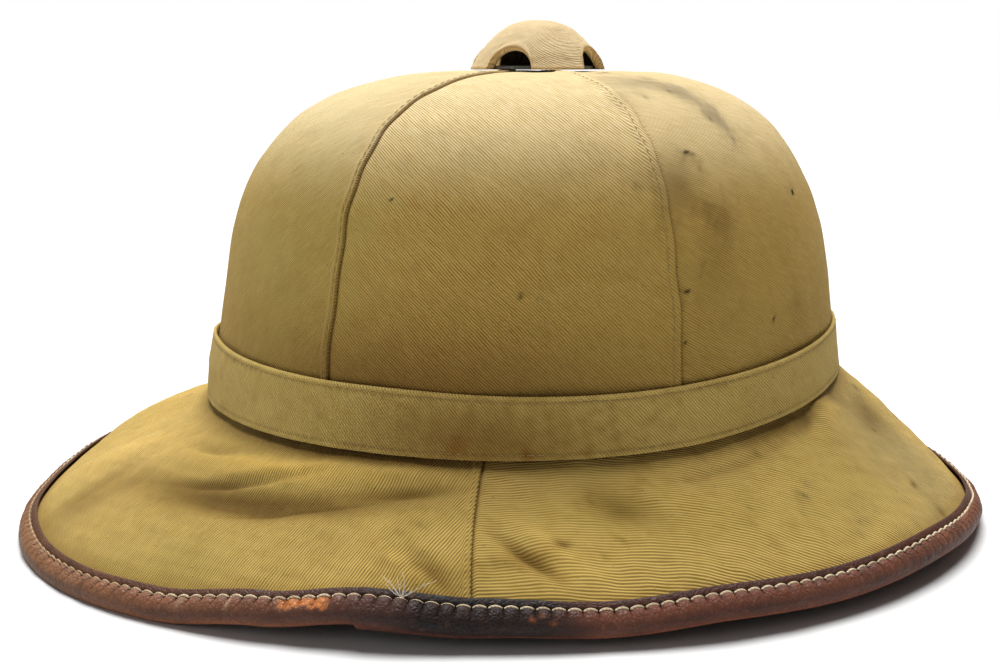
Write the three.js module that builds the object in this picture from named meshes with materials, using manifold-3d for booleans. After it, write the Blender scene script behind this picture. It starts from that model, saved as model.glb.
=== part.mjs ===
// Pith helmet: a cork-and-cloth sun helmet with four crown panels, a hat band, a two-piece brim
// cover, a leather edge binding and an arched ventilator on top.
// Frame, in millimetres: +X is the front, -X the neck side, +Z up, and the rim rests on z = 0.
// Angles run anticlockwise seen from above, from 0 at the front.
import * as THREE from "three";
import { mergeVertices } from "three/addons/utils/BufferGeometryUtils.js";
import Module from "manifold-3d";

// ---- driving dimensions
const GAP = 0.3; // clearance between neighbouring pieces
const SLOT_GAP = 0.55; // clearance on each face of the brim inside the leather
const CROWN_WALL = 3.6; // cork with its cloth
const BRIM_WALL = 3.0;
const BAND_THICK = 1.5;
const LEATHER_THICK = 1.3;

const CROWN_TOP = 150; // height of the crown above the rim plane
const CROWN_LAW_BASE = 52; // height below which the crown wall is upright
const CROWN_CENTRE_X = 8.25;
const CROWN_FRONT = 105.7; // half length towards the front
const CROWN_BACK = 112; // half length towards the neck
const CROWN_SIDE = 95; // half width
const CROWN_HEIGHT_POWER = 2.82; // height^p + radius^q = 1 gives the crown's shoulder
const CROWN_RADIUS_POWER = 3.35;
const CROWN_SLACK_FRONT = 0.039; // how far the wall falls inside that curve at mid height
const CROWN_SLACK_BACK = 0.163;
const CROWN_PANEL_TOP = 0.975; // share of the rise where the panels stop, under the ventilator

const BRIM_CENTRE_X = -2.75;
const BRIM_FRONT = 170.5; // reach of the bound rim to the front
const BRIM_BACK = 165; // to the neck
const BRIM_SIDE = 139.5; // to each side
const BRIM_POWER_FRONT = 2.0; // a plain ellipse at the front
const BRIM_POWER_BACK = 2.45; // a squarer end over the neck
const ROOT_HEIGHT = 38.8; // where the brim leaves the crown at the sides and back
const ROOT_FRONT_RISE = 11.4; // how much higher it leaves at the front
const ROOT_LIP = 1.2; // the crown stands this far above the brim's root

const BAND_WIDTH = 18.2;
const BAND_EXTRA_BACK = 3.0;
const BAND_LESS_FRONT = 2.0;
const BAND_FOOT_RISE = 0.6; // the band's lower edge above the brim's root
const BAND_FOOT_OUT = 1.0; // how far the lower edge stands off the crown
const BAND_MIDDLE_OUT = 0.7;

const BINDING_TOP_LAP = 5.2; // leather on the upper face of the brim
const BINDING_UNDER_LAP = 6.4;
const BEAD_OUT = 2.3; // how far the rolled edge stands beyond the cork
const BEAD_CORNER_OUT = 0.72; // corner of the bead's round, as shares of its reach and height
const BEAD_CORNER_UP = 0.82;
const STITCH_SWELL = 0.5; // the leather swells over the cork's edge, outside the stitching
const TREAD_FLAT = 0.9; // depth pressed flat where the rim rests

const VENT_X = 10.25;
const VENT_RADIUS = 23;
const VENT_HEIGHT = 16.6;
const VENT_WALL = 3;
const VENT_HOLE_RADIUS = 11;
const VENT_ROUND_POWER = 1.1; // radius = (1 - height^p)^q, legs that lean in under a low top
const VENT_LEAN_POWER = 0.41;
const ARCH_WIDTH = 16.4;
const ARCH_HEIGHT = 7.2;
const ARCH_STRAIGHT = 0.35; // share of the arch's height where its sides stop being straight
const ARCH_TURNS = [-28, 62]; // directions of the two arched tunnels, from straight right
const RING_RADIUS = 19.2; // the base ring lies inside the dome's legs
const RING_THICK = 1.3;
const RING_ROUND = 0.4;

// Height of the rim's lower edge round one half; the other half mirrors it.
const RIM_ROWS = [
  { angle: 0, height: 0 },
  { angle: 8, height: 0.6 },
  { angle: 20, height: 4.6 },
  { angle: 34, height: 6.3 },
  { angle: 50, height: 5.3 },
  { angle: 64, height: 5.9 },
  { angle: 78, height: 3.9 },
  { angle: 92, height: 5.2 },
  { angle: 106, height: 7.4 },
  { angle: 117, height: 4.6 },
  { angle: 130, height: 0.9 },
  { angle: 142, height: 0 },
  { angle: 180, height: 0 },
];

// Soft folds of the brim cover: reach is 0 at the crown and 1 at the rim; slant turns the fold's
// line outwards as it goes round.
const FOLD_ROWS = [
  { angle: -122, reach: 0.27, spread: 27, width: 0.1, slant: 0.004, rise: 1.3 },
  { angle: -124, reach: 0.5, spread: 22, width: 0.12, slant: 0.004, rise: -1.5 },
  { angle: -160, reach: 0.62, spread: 5, width: 0.34, slant: 0.0, rise: 1.6 },
  { angle: -151, reach: 0.7, spread: 5, width: 0.26, slant: 0.0, rise: -1.3 },
  { angle: -34, reach: 0.2, spread: 9, width: 0.12, slant: -0.004, rise: 1.5 },
  { angle: -22, reach: 0.28, spread: 6, width: 0.16, slant: 0.0, rise: -1.4 },
  { angle: 118, reach: 0.35, spread: 20, width: 0.14, slant: 0.004, rise: -1.2 },
  { angle: 40, reach: 0.3, spread: 12, width: 0.16, slant: 0.0, rise: 1.1 },
  { angle: 165, reach: 0.6, spread: 7, width: 0.3, slant: 0.0, rise: 1.2 },
];

// Seams: the angle of each on the crown, and of the brim cover's at its root and its rim.
const SEAM_FRONT = 64;
const SEAM_BACK = 129;
const SEAM_DRIFT_FRONT = 5; // how far each seam leans towards the side at the top
const SEAM_DRIFT_BACK = 10;
const BRIM_SEAM_ROOT = 99.5;
const BRIM_SEAM_RIM = 93.2;

const AROUND = 76; // segments round the whole helmet
const CROWN_AROUND = 57; // segments round the crown
const CROWN_ROWS = 11;
const VENT_AROUND = 32;
const VENT_ROWS = 8;
const BRIM_REACHES = [0, 0.13, 0.28, 0.46, 0.65, 0.84, 1]; // rows of the brim, crown to rim
const LAP_REACH = 0.84; // from here to the rim the brim runs straight into the leather

const CLOTH_CROWN = new THREE.MeshStandardMaterial({ color: 0xb19a68, roughness: 0.92 });
const CLOTH_BAND = new THREE.MeshStandardMaterial({ color: 0xa88f59, roughness: 0.92 });
const CLOTH_BRIM = new THREE.MeshStandardMaterial({ color: 0x9f8852, roughness: 0.93 });
const LEATHER = new THREE.MeshStandardMaterial({ color: 0x57301f, roughness: 0.55 });
const RING_METAL = new THREE.MeshStandardMaterial({
  color: 0x5b6166,
  roughness: 0.6,
  metalness: 0.4,
});

// ---- small helpers
const radians = THREE.MathUtils.degToRad;
const mix = THREE.MathUtils.lerp;
const frontness = (angle) => (1 + Math.cos(angle)) / 2; // 1 at the front, 0 at the neck

// Radius of an oval at an angle: |cos/front or back|^n + |sin/side|^n = 1 / radius^n.
function ovalRadius(angle, front, back, side, power) {
  const c = Math.cos(angle);
  const along = Math.abs(c) / (c < 0 ? back : front);
  const across = Math.abs(Math.sin(angle)) / side;
  return (along ** power + across ** power) ** (-1 / power);
}

// A smooth curve through the rim rows, even about the helmet's long axis.
function rimHeight(angle) {
  const turned = Math.abs(THREE.MathUtils.euclideanModulo(angle + Math.PI, 2 * Math.PI) - Math.PI);
  const degrees = THREE.MathUtils.radToDeg(turned);
  const next = Math.max(1, RIM_ROWS.findIndex((row) => row.angle >= degrees));
  const before = RIM_ROWS[next - 1];
  const after = RIM_ROWS[next];
  const share = (degrees - before.angle) / (after.angle - before.angle);
  return mix(before.height, after.height, THREE.MathUtils.smoothstep(share, 0, 1));
}

const rootHeight = (angle) => ROOT_HEIGHT + ROOT_FRONT_RISE * frontness(angle) ** 5;

// ---- the crown's outline
// Radius of the crown's wall at its foot, measured from the crown's centre line.
const wallRadius = (angle) => ovalRadius(angle, CROWN_FRONT, CROWN_BACK, CROWN_SIDE, 2);

// A height as a share of the curved part of the crown.
const curvedShare = (z) => Math.max(0, (z - CROWN_LAW_BASE) / (CROWN_TOP - CROWN_LAW_BASE));

// Radius of the crown at a height: height^p + radius^q = 1, less the slack of the tired wall.
function crownRadius(angle, z) {
  const u = curvedShare(z);
  const shoulder = Math.max(0, 1 - u ** CROWN_HEIGHT_POWER) ** (1 / CROWN_RADIUS_POWER);
  const slack = mix(CROWN_SLACK_BACK, CROWN_SLACK_FRONT, frontness(angle));
  return wallRadius(angle) * Math.max(0, shoulder - slack * u * (1 - u));
}

// ---- surfaces: each gives a point from an angle and a second parameter from 0 to 1
// Crown: rise 0 is its foot on the brim, 1 its centre on top.
function crownPoint(angle, rise) {
  const foot = rootHeight(angle) + ROOT_LIP;
  const lift = Math.sin((rise * Math.PI) / 2) ** (2 / CROWN_HEIGHT_POWER);
  const z = foot + (CROWN_TOP - foot) * lift;
  const radius = crownRadius(angle, z);
  const centreX = mix(CROWN_CENTRE_X, VENT_X, curvedShare(z) ** 8);
  return new THREE.Vector3(centreX + radius * Math.cos(angle), radius * Math.sin(angle), z);
}

// Centre of the cork's edge, inside the rolled leather bead.
function rimPoint(angle) {
  const power = mix(BRIM_POWER_BACK, BRIM_POWER_FRONT, frontness(angle));
  const inset = BEAD_OUT + LEATHER_THICK;
  const radius = ovalRadius(angle, BRIM_FRONT, BRIM_BACK, BRIM_SIDE, power) - inset;
  const z = rimHeight(angle) + BRIM_WALL / 2 + GAP + LEATHER_THICK - TREAD_FLAT;
  return new THREE.Vector3(BRIM_CENTRE_X + radius * Math.cos(angle), radius * Math.sin(angle), z);
}

// How deep the brim has fallen at a reach: straight at the front, bellied over the neck.
function brimFall(angle, reach) {
  const belly = mix(0.45, 0.07, frontness(angle));
  const hollow = mix(0.2, 0.0, frontness(angle));
  const curve = (1 - belly) * reach + belly * reach ** 3.5 + hollow * (1 - (1 - reach) ** 5);
  return curve / (1 + hollow);
}

function foldRise(angle, reach) {
  const degrees = THREE.MathUtils.radToDeg(angle);
  return FOLD_ROWS.reduce((sum, fold) => {
    const turn = THREE.MathUtils.euclideanModulo(degrees - fold.angle + 180, 360) - 180;
    const off = (reach - fold.reach - fold.slant * turn) / fold.width;
    return sum + fold.rise * Math.exp(-((turn / fold.spread) ** 2) - off ** 2);
  }, 0);
}

// Upper face of the brim: reach 0 is under the crown's wall, 1 the rim.
function brimPoint(angle, reach) {
  const root = wallRadius(angle) + 1;
  const inner = new THREE.Vector3(
    CROWN_CENTRE_X + root * Math.cos(angle),
    root * Math.sin(angle),
    rootHeight(angle),
  );
  const outer = rimPoint(angle);
  outer.z += BRIM_WALL / 2;
  const point = inner.clone().lerp(outer, reach);
  point.z = mix(inner.z, outer.z, brimFall(angle, reach));
  point.z += foldRise(angle, reach) * Math.min(1, 6 * (1 - reach));
  return point;
}

// Outward normal of a surface, from its two slopes.
function normalOf(surface, angle, second) {
  const step = 1e-3;
  const low = Math.max(second - step, 0);
  const high = Math.min(second + step, 0.999);
  const round = surface(angle + step, second).sub(surface(angle - step, second));
  const along = surface(angle, high).sub(surface(angle, low));
  const normal = round.cross(along).normalize();
  return normal.z < 0 ? normal.negate() : normal;
}

// The brim's last stretch: its edge, the way down to it, and the way up off its face.
function edgeFrame(angle) {
  const edge = rimPoint(angle);
  const lap = brimPoint(angle, LAP_REACH);
  lap.z -= BRIM_WALL / 2;
  const out = new THREE.Vector3(Math.cos(angle), Math.sin(angle), 0);
  const fall = Math.atan2(lap.z - edge.z, Math.hypot(lap.x - edge.x, lap.y - edge.y));
  const down = out.clone().multiplyScalar(Math.cos(fall)).setZ(-Math.sin(fall));
  const up = out.clone().multiplyScalar(Math.sin(fall)).setZ(Math.cos(fall));
  return { edge, down, up };
}

// ---- building blocks
// A wall bent from a thin box: x runs round the helmet, y upwards, z through the wall.
function bentWall(roundSegments, upSegments, place) {
  const box = new THREE.BoxGeometry(1, 1, 1, roundSegments, upSegments, 1);
  return placed(box, (at) => place(at.x + 0.5, at.y + 0.5, at.z + 0.5));
}

// Draws a wall's two ends in by half the gap, so that it clears its neighbours at the seams.
function easedSide(point, angle, round) {
  const side = new THREE.Vector3(-Math.sin(angle), Math.cos(angle), 0);
  const ease = round === 0 ? 1 : round === 1 ? -1 : 0;
  return point.addScaledVector(side, (ease * GAP) / 2);
}

// A closed ring bent from a torus: its section is a list of corners, outside first, then up.
function bentRing(roundSegments, sectionAt) {
  const corners = sectionAt(0).length;
  const torus = new THREE.TorusGeometry(2, 1, corners, roundSegments);
  return placed(torus, (at) => {
    const angle = Math.atan2(at.y, at.x);
    const turn = Math.atan2(at.z, Math.hypot(at.x, at.y) - 2) / (2 * Math.PI);
    const corner = THREE.MathUtils.euclideanModulo(Math.round(turn * corners), corners);
    return sectionAt(angle)[corner];
  });
}

// Moves every vertex of a geometry to its place, and merges those that meet.
function placed(geometry, place) {
  geometry.deleteAttribute("normal");
  geometry.deleteAttribute("uv");
  const position = geometry.getAttribute("position");
  for (let i = 0; i < position.count; i++) {
    const at = place(new THREE.Vector3().fromBufferAttribute(position, i));
    position.setXYZ(i, at.x, at.y, at.z);
  }
  const merged = mergeVertices(geometry, 1e-4);
  merged.computeVertexNormals();
  return merged;
}

function mesh(name, geometry, material) {
  const made = new THREE.Mesh(geometry, material);
  made.name = name;
  return made;
}

// ---- crown panels
// A panel lies between two seams; the wall stands inwards from the crown's surface.
function crownPanel(fromSeam, toSeam) {
  const rows = Math.round(((toSeam - fromSeam) / 360) * CROWN_AROUND);
  const drift = (seam, rise) => {
    const toFront = Math.cos(radians(seam)) > 0;
    const lean = toFront ? SEAM_DRIFT_FRONT : -SEAM_DRIFT_BACK;
    return seam + Math.sign(Math.sin(radians(seam))) * lean * rise ** 4;
  };
  return bentWall(rows, CROWN_ROWS, (round, up, through) => {
    const rise = CROWN_PANEL_TOP * up;
    const degrees = mix(drift(fromSeam, rise), drift(toSeam, rise), round);
    const angle = radians(degrees);
    const outside = crownPoint(angle, rise);
    const normal = normalOf(crownPoint, angle, Math.max(rise, 0.02));
    if (up === 0) normal.setZ(0).normalize(); // the foot stands flat on the brim
    const point = outside.addScaledVector(normal, -CROWN_WALL * (1 - through));
    return easedSide(point, angle, round);
  });
}

// ---- brim cover, in two pieces that meet at the sides
function brimCover(fromSide, toSide) {
  const seamAt = (side, reach) => {
    const angle = mix(BRIM_SEAM_ROOT, BRIM_SEAM_RIM, reach);
    return side < 0 ? -angle : side > 180 ? 360 - angle : angle;
  };
  const rows = BRIM_REACHES.length;
  return bentWall(AROUND / 2, rows, (round, up, through) => {
    const row = Math.round((1 - up) * rows);
    const reach = BRIM_REACHES[Math.max(row - 1, 0)];
    const angle = radians(mix(seamAt(fromSide, reach), seamAt(toSide, reach), round));
    const frame = edgeFrame(angle);
    let point = brimPoint(angle, reach);
    let normal = normalOf(brimPoint, angle, reach);
    if (row <= 1) normal.set(0, 0, 1);
    if (row === 0) {
      const tuck = -1 - CROWN_WALL;
      point.x += tuck * Math.cos(angle);
      point.y += tuck * Math.sin(angle);
      point.z = rootHeight(angle) + ROOT_LIP - GAP;
    }
    if (row >= rows - 1) normal = frame.up;
    if (row === rows) point = frame.edge.clone().addScaledVector(frame.up, BRIM_WALL / 2);
    point.addScaledVector(normal, -BRIM_WALL * (1 - through));
    return easedSide(point, angle, round);
  });
}

// ---- hat band: a cloth ring that hides where the crown meets the brim
function bandSection(angle) {
  const foot = rootHeight(angle) + BAND_FOOT_RISE;
  const width =
    BAND_WIDTH +
    BAND_EXTRA_BACK * (1 - frontness(angle)) ** 3 -
    BAND_LESS_FRONT * frontness(angle) ** 6;
  const out = new THREE.Vector3(Math.cos(angle), Math.sin(angle), 0);
  const centre = new THREE.Vector3(CROWN_CENTRE_X, 0, 0);
  // rows of the section: how far out from the crown's wall, and how far up the band
  const corners = [
    { out: GAP + BAND_THICK + BAND_FOOT_OUT, up: 0.02 },
    { out: GAP + BAND_THICK + BAND_MIDDLE_OUT, up: 0.4 },
    { out: GAP + BAND_THICK - 0.2, up: 0.95 },
    { out: GAP + BAND_THICK / 2, up: 1 },
    { out: GAP, up: 0.97 },
    { out: GAP, up: 0 },
  ];
  return corners.map((corner) => {
    const z = foot + width * corner.up;
    return centre.clone().addScaledVector(out, crownRadius(angle, z) + corner.out).setZ(z);
  });
}

// ---- leather binding: a U round the brim's edge with a rolled bead, pressed flat underneath
function bindingSection(angle) {
  const { edge, down, up } = edgeFrame(angle);
  const slot = BRIM_WALL / 2 + SLOT_GAP;
  const face = slot + LEATHER_THICK;
  const bead = BEAD_OUT + LEATHER_THICK;
  const corners = [
    { down: bead, up: 0 },
    { down: bead * BEAD_CORNER_OUT, up: face * BEAD_CORNER_UP },
    { down: 0, up: face + STITCH_SWELL },
    { down: -BINDING_TOP_LAP * 0.3, up: face },
    { down: -BINDING_TOP_LAP, up: face - 0.2 },
    { down: -BINDING_TOP_LAP, up: slot },
    { down: GAP, up: slot },
    { down: GAP, up: -slot },
    { down: -BINDING_UNDER_LAP, up: -slot },
    { down: -BINDING_UNDER_LAP, up: -face },
    { down: 0, up: -face - 0.2 },
    { down: bead * BEAD_CORNER_OUT, up: -face * BEAD_CORNER_UP },
  ];
  return corners.map((corner) => {
    const point = edge.clone();
    point.addScaledVector(down, corner.down);
    point.addScaledVector(up, corner.up);
    point.z = Math.max(point.z, 0);
    return point;
  });
}

// ---- ventilator
function lathed(rows, segments) {
  const profile = rows.map((row) => new THREE.Vector2(row.radius, row.height));
  const turned = new THREE.LatheGeometry(profile, segments);
  turned.rotateX(Math.PI / 2); // the lathe's axis onto +Z
  turned.deleteAttribute("normal");
  turned.deleteAttribute("uv");
  return mergeVertices(turned, 1e-4);
}

function solidOf(wasm, geometry) {
  return new wasm.Manifold(
    new wasm.Mesh({
      numProp: 3,
      vertProperties: new Float32Array(geometry.getAttribute("position").array),
      triVerts: new Uint32Array(geometry.index.array),
    }),
  );
}

function geometryOf(solid) {
  const made = solid.getMesh();
  const geometry = new THREE.BufferGeometry();
  geometry.setAttribute("position", new THREE.BufferAttribute(made.vertProperties, 3));
  geometry.setIndex(new THREE.BufferAttribute(made.triVerts, 1));
  geometry.computeVertexNormals();
  return geometry;
}

// One side of the dome's section, from its foot to its top: radius = (1 - height^p)^q.
function domeRows(radius, height) {
  const rows = [];
  for (let i = 0; i <= VENT_ROWS; i++) {
    const share = Math.sin((i / VENT_ROWS) * (Math.PI / 2)) ** 1.3; // rows gather towards the top
    const width = i === VENT_ROWS ? 0 : (1 - share ** VENT_ROUND_POWER) ** VENT_LEAN_POWER;
    rows.push({ radius: radius * width, height: height * share });
  }
  return rows;
}

async function ventilatorDome() {
  const outside = domeRows(VENT_RADIUS, VENT_HEIGHT);
  const inside = domeRows(VENT_RADIUS - VENT_WALL, VENT_HEIGHT - VENT_WALL);
  const shell = lathed([...outside, ...inside.reverse(), outside[0]], VENT_AROUND);

  const arch = new THREE.Shape();
  const half = ARCH_WIDTH / 2;
  const straight = ARCH_HEIGHT * ARCH_STRAIGHT;
  const below = -2; // the tunnel starts under the dome's foot
  arch.moveTo(-half, below);
  arch.lineTo(half, below);
  arch.lineTo(half, straight);
  arch.bezierCurveTo(half, ARCH_HEIGHT, half * 0.5, ARCH_HEIGHT, 0, ARCH_HEIGHT);
  arch.bezierCurveTo(-half * 0.5, ARCH_HEIGHT, -half, ARCH_HEIGHT, -half, straight);
  arch.closePath();

  const wasm = await Module();
  wasm.setup();
  let dome = solidOf(wasm, shell);
  for (const turn of ARCH_TURNS) {
    const depth = 3 * VENT_RADIUS;
    const tunnel = new THREE.ExtrudeGeometry(arch, { depth, bevelEnabled: false, curveSegments: 6 });
    tunnel.translate(0, 0, -depth / 2);
    tunnel.rotateX(Math.PI / 2); // the arch stands up, the tunnel runs along Y
    tunnel.rotateZ(radians(turn - 90));
    tunnel.deleteAttribute("normal");
    tunnel.deleteAttribute("uv");
    dome = dome.subtract(solidOf(wasm, mergeVertices(tunnel, 1e-4)));
  }
  return geometryOf(dome);
}

function ventilatorBase() {
  return lathed(
    [
      { radius: VENT_HOLE_RADIUS, height: 0 },
      { radius: RING_RADIUS, height: 0 },
      { radius: RING_RADIUS, height: RING_THICK - RING_ROUND },
      { radius: RING_RADIUS - RING_ROUND, height: RING_THICK },
      { radius: VENT_HOLE_RADIUS, height: RING_THICK },
      { radius: VENT_HOLE_RADIUS, height: 0 },
    ],
    VENT_AROUND,
  );
}

// ---- assembly
const helmet = new THREE.Group();
const crown = new THREE.Group();
crown.add(mesh("crown_panel_front", crownPanel(-SEAM_FRONT, SEAM_FRONT), CLOTH_CROWN));
crown.add(mesh("crown_panel_left", crownPanel(SEAM_FRONT, SEAM_BACK), CLOTH_CROWN));
crown.add(mesh("crown_panel_back", crownPanel(SEAM_BACK, 360 - SEAM_BACK), CLOTH_CROWN));
crown.add(mesh("crown_panel_right", crownPanel(-SEAM_BACK, -SEAM_FRONT), CLOTH_CROWN));

const brim = new THREE.Group();
brim.add(mesh("brim_cover_front", brimCover(-90, 90), CLOTH_BRIM));
brim.add(mesh("brim_cover_back", brimCover(90, 270), CLOTH_BRIM));
brim.add(mesh("brim_binding", bentRing(AROUND, bindingSection), LEATHER));

const band = mesh("hat_band", bentRing(AROUND, bandSection), CLOTH_BAND);

const ventilator = new THREE.Group();
ventilator.position.set(VENT_X, 0, CROWN_TOP + GAP);
ventilator.add(mesh("ventilator_dome", await ventilatorDome(), CLOTH_BAND));
ventilator.add(mesh("ventilator_base", ventilatorBase(), RING_METAL));

helmet.add(crown, brim, band, ventilator);
export default helmet;
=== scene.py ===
import math

import bpy
import numpy as np
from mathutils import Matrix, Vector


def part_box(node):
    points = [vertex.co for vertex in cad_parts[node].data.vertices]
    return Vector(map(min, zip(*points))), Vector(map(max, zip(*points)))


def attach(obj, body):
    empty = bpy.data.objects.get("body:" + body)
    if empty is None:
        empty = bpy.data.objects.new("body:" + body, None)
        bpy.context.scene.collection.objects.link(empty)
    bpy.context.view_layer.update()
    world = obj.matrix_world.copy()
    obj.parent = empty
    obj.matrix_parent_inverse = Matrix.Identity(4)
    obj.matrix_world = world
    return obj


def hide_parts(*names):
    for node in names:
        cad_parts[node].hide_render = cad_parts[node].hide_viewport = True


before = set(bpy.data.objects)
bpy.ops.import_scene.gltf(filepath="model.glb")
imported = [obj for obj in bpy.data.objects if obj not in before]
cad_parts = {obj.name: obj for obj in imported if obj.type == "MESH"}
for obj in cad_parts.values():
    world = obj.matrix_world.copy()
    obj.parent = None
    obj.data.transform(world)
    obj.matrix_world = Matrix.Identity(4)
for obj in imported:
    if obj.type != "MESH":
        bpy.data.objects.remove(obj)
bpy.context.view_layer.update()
print("frame loaded:", len(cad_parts), "nodes")

mm = 0.001  # sizes below are in millimetres, finished meshes in metres
gap = 0.3  # clearance between neighbouring pieces


def boxOf(node):  # lowest and highest corner of a CAD node, in millimetres
    low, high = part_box(node)
    return np.array(low) / mm, np.array(high) / mm


# ---- camera, floor and light

studio = {
    "cameraAt": (-2.75, -450, 151.5),
    "lookDown": 11.9,  # degrees below level
    "lens": 45.8,
    "floorSize": 6000,
    "floorColour": (0.68, 0.68, 0.675),
    "backgroundLight": 0.1,
    "backgroundSeen": 1.0,
    "keyFrom": (-20, 330, 1000),  # the overhead light shines from here towards the helmet
    "keySpread": 42,  # degrees
    "keyStrength": 5.8,
    "fillAt": (-850, -750, 520),
    "fillAim": (-40, 0, 60),
    "fillSize": 800,
    "fillWatts": 1.6,
}


def aimed(place, target):  # turns -Z towards the target
    way = np.array(target, float) - np.array(place, float)
    turn = math.atan2(way[0], -way[1])
    tilt = math.atan2(math.hypot(way[0], way[1]), -way[2])
    return (tilt, 0, turn + math.pi)


def putLight(data, place, target):  # places a light, aimed at the target
    light = bpy.data.objects.new(data.name, data)
    light.location = [x * mm for x in place]
    light.rotation_euler = aimed(place, target)
    bpy.context.collection.objects.link(light)


def makeStudio():
    # camera, pale floor, soft light from above and a white background that adds little light
    data = bpy.data.cameras.new("camera")
    data.lens = studio["lens"]
    data.sensor_width = 36
    data.clip_start = 0.01
    camera = bpy.data.objects.new("camera", data)
    camera.location = [x * mm for x in studio["cameraAt"]]
    camera.rotation_euler = (math.radians(90 - studio["lookDown"]), 0, 0)
    bpy.context.collection.objects.link(camera)
    bpy.context.scene.camera = camera

    half = studio["floorSize"] * mm / 2
    mesh = bpy.data.meshes.new("floor")
    corners = [(-half, -half, 0), (half, -half, 0), (half, half, 0), (-half, half, 0)]
    mesh.from_pydata(corners, [], [(0, 1, 2, 3)])
    floor = bpy.data.objects.new("floor", mesh)
    bpy.context.collection.objects.link(floor)
    material = bpy.data.materials.new("paleFloor")
    material.use_nodes = True
    shader = material.node_tree.nodes["Principled BSDF"]
    shader.inputs["Base Color"].default_value = (*studio["floorColour"], 1)
    shader.inputs["Roughness"].default_value = 0.7
    shader.inputs["Specular IOR Level"].default_value = 0.2
    mesh.materials.append(material)

    key = bpy.data.lights.new("keyLight", "SUN")
    key.angle = math.radians(studio["keySpread"])
    key.energy = studio["keyStrength"]
    putLight(key, studio["keyFrom"], (0, 0, 0))
    fill = bpy.data.lights.new("fillLight", "AREA")
    fill.size = studio["fillSize"] * mm
    fill.energy = studio["fillWatts"]
    putLight(fill, studio["fillAt"], studio["fillAim"])

    world = bpy.data.worlds.new("studioAir")
    world.use_nodes = True
    tree = world.node_tree
    tree.nodes.clear()
    path = tree.nodes.new("ShaderNodeLightPath")
    strength = tree.nodes.new("ShaderNodeMix")
    strength.inputs["A"].default_value = studio["backgroundLight"]
    strength.inputs["B"].default_value = studio["backgroundSeen"]
    background = tree.nodes.new("ShaderNodeBackground")
    background.inputs["Color"].default_value = (1, 1, 1, 1)
    out = tree.nodes.new("ShaderNodeOutputWorld")
    tree.links.new(path.outputs["Is Camera Ray"], strength.inputs["Factor"])
    tree.links.new(strength.outputs["Result"], background.inputs["Strength"])
    tree.links.new(background.outputs[0], out.inputs["Surface"])
    bpy.context.scene.world = world
    bpy.context.scene.view_settings.view_transform = "Standard"


makeStudio()
print("camera, floor and light are set")

# ---- numbers the shapes share


def frontness(angle):  # (1 + cos) / 2: 1 at the front, 0 at the neck
    return (1 + np.cos(angle)) / 2


def mix(a, b, share):  # a at share 0, b at share 1
    return a + (b - a) * share


def smooth(share):  # 3 t^2 - 2 t^3 with t held between 0 and 1
    t = np.clip(share, 0, 1)
    return t * t * (3 - 2 * t)


def bell(x, width):  # exp(-(x / width)^2)
    return np.exp(-((x / width) ** 2))


def turned(degrees, centre):  # difference of two angles, from -180 to 180
    return (degrees - centre + 180) % 360 - 180


def ringPoints(angle, radius=1):  # points of a level circle
    return np.stack([radius * np.cos(angle), radius * np.sin(angle), 0 * radius * angle], -1)


def runLength(line):  # distance from a line's first point to each of its points
    return np.concatenate([[0], np.cumsum(np.linalg.norm(np.diff(line, axis=0), axis=1))])


def unevenness(points, size, seed, stretch=(1, 1, 1)):
    # sum of 12 sine waves with seeded directions and phases, about size mm from crest to crest
    dice = np.random.default_rng(seed)
    way = dice.normal(size=(12, 3))
    way /= np.linalg.norm(way, axis=1, keepdims=True)
    length = size * dice.uniform(0.6, 1.7, 12)
    phase = dice.uniform(0, 2 * np.pi, 12)
    scaled = np.asarray(points) / np.array(stretch)
    return sum(np.sin(2 * np.pi * (scaled @ w) / l + p) for w, l, p in zip(way, length, phase)) / 12**0.5


def ovalRadius(angle, front, back, side, power):  # (|cos| / length)^n + (|sin| / width)^n = radius^-n
    c = np.cos(angle)
    along = np.abs(c) / np.where(c < 0, back, front)
    across = np.abs(np.sin(angle)) / side
    return (along**power + across**power) ** (-1 / power)


def unitNormals(grid):  # cross product of the two slopes of a grid whose rows go up and columns go round
    rowWay = np.gradient(grid, axis=0)
    columnWay = np.gradient(grid, axis=1)
    normal = np.cross(columnWay, rowWay)
    return normal / np.maximum(np.linalg.norm(normal, axis=-1, keepdims=True), 1e-9)


# ---- putting grids into meshes


def gridSquares(rows, columns, first=0, wrapRows=False, wrapColumns=False):
    # vertex numbers of every square, and the row and column of each of its corners before wrapping
    r, c = np.meshgrid(
        np.arange(rows if wrapRows else rows - 1),
        np.arange(columns if wrapColumns else columns - 1),
        indexing="ij",
    )
    row = np.stack([r, r, r + 1, r + 1], -1).reshape(-1, 4)
    column = np.stack([c, c + 1, c + 1, c], -1).reshape(-1, 4)
    return first + (row % rows) * columns + column % columns, row, column


def seamStrip(fine, coarse, flip):
    # triangles between a row of vertices and a row with one vertex for each `step` of it
    step = (len(fine) - 1) // (len(coarse) - 1)
    i = np.arange(len(fine) - 1)
    j = np.arange(len(coarse) - 1)
    wide = np.stack([fine[i], fine[i + 1], coarse[(i + step // 2) // step]], -1)
    narrow = np.stack([coarse[j + 1], coarse[j], fine[j * step + step // 2]], -1)
    strip = np.concatenate([wide, narrow])
    return strip[:, ::-1] if flip else strip


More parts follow.
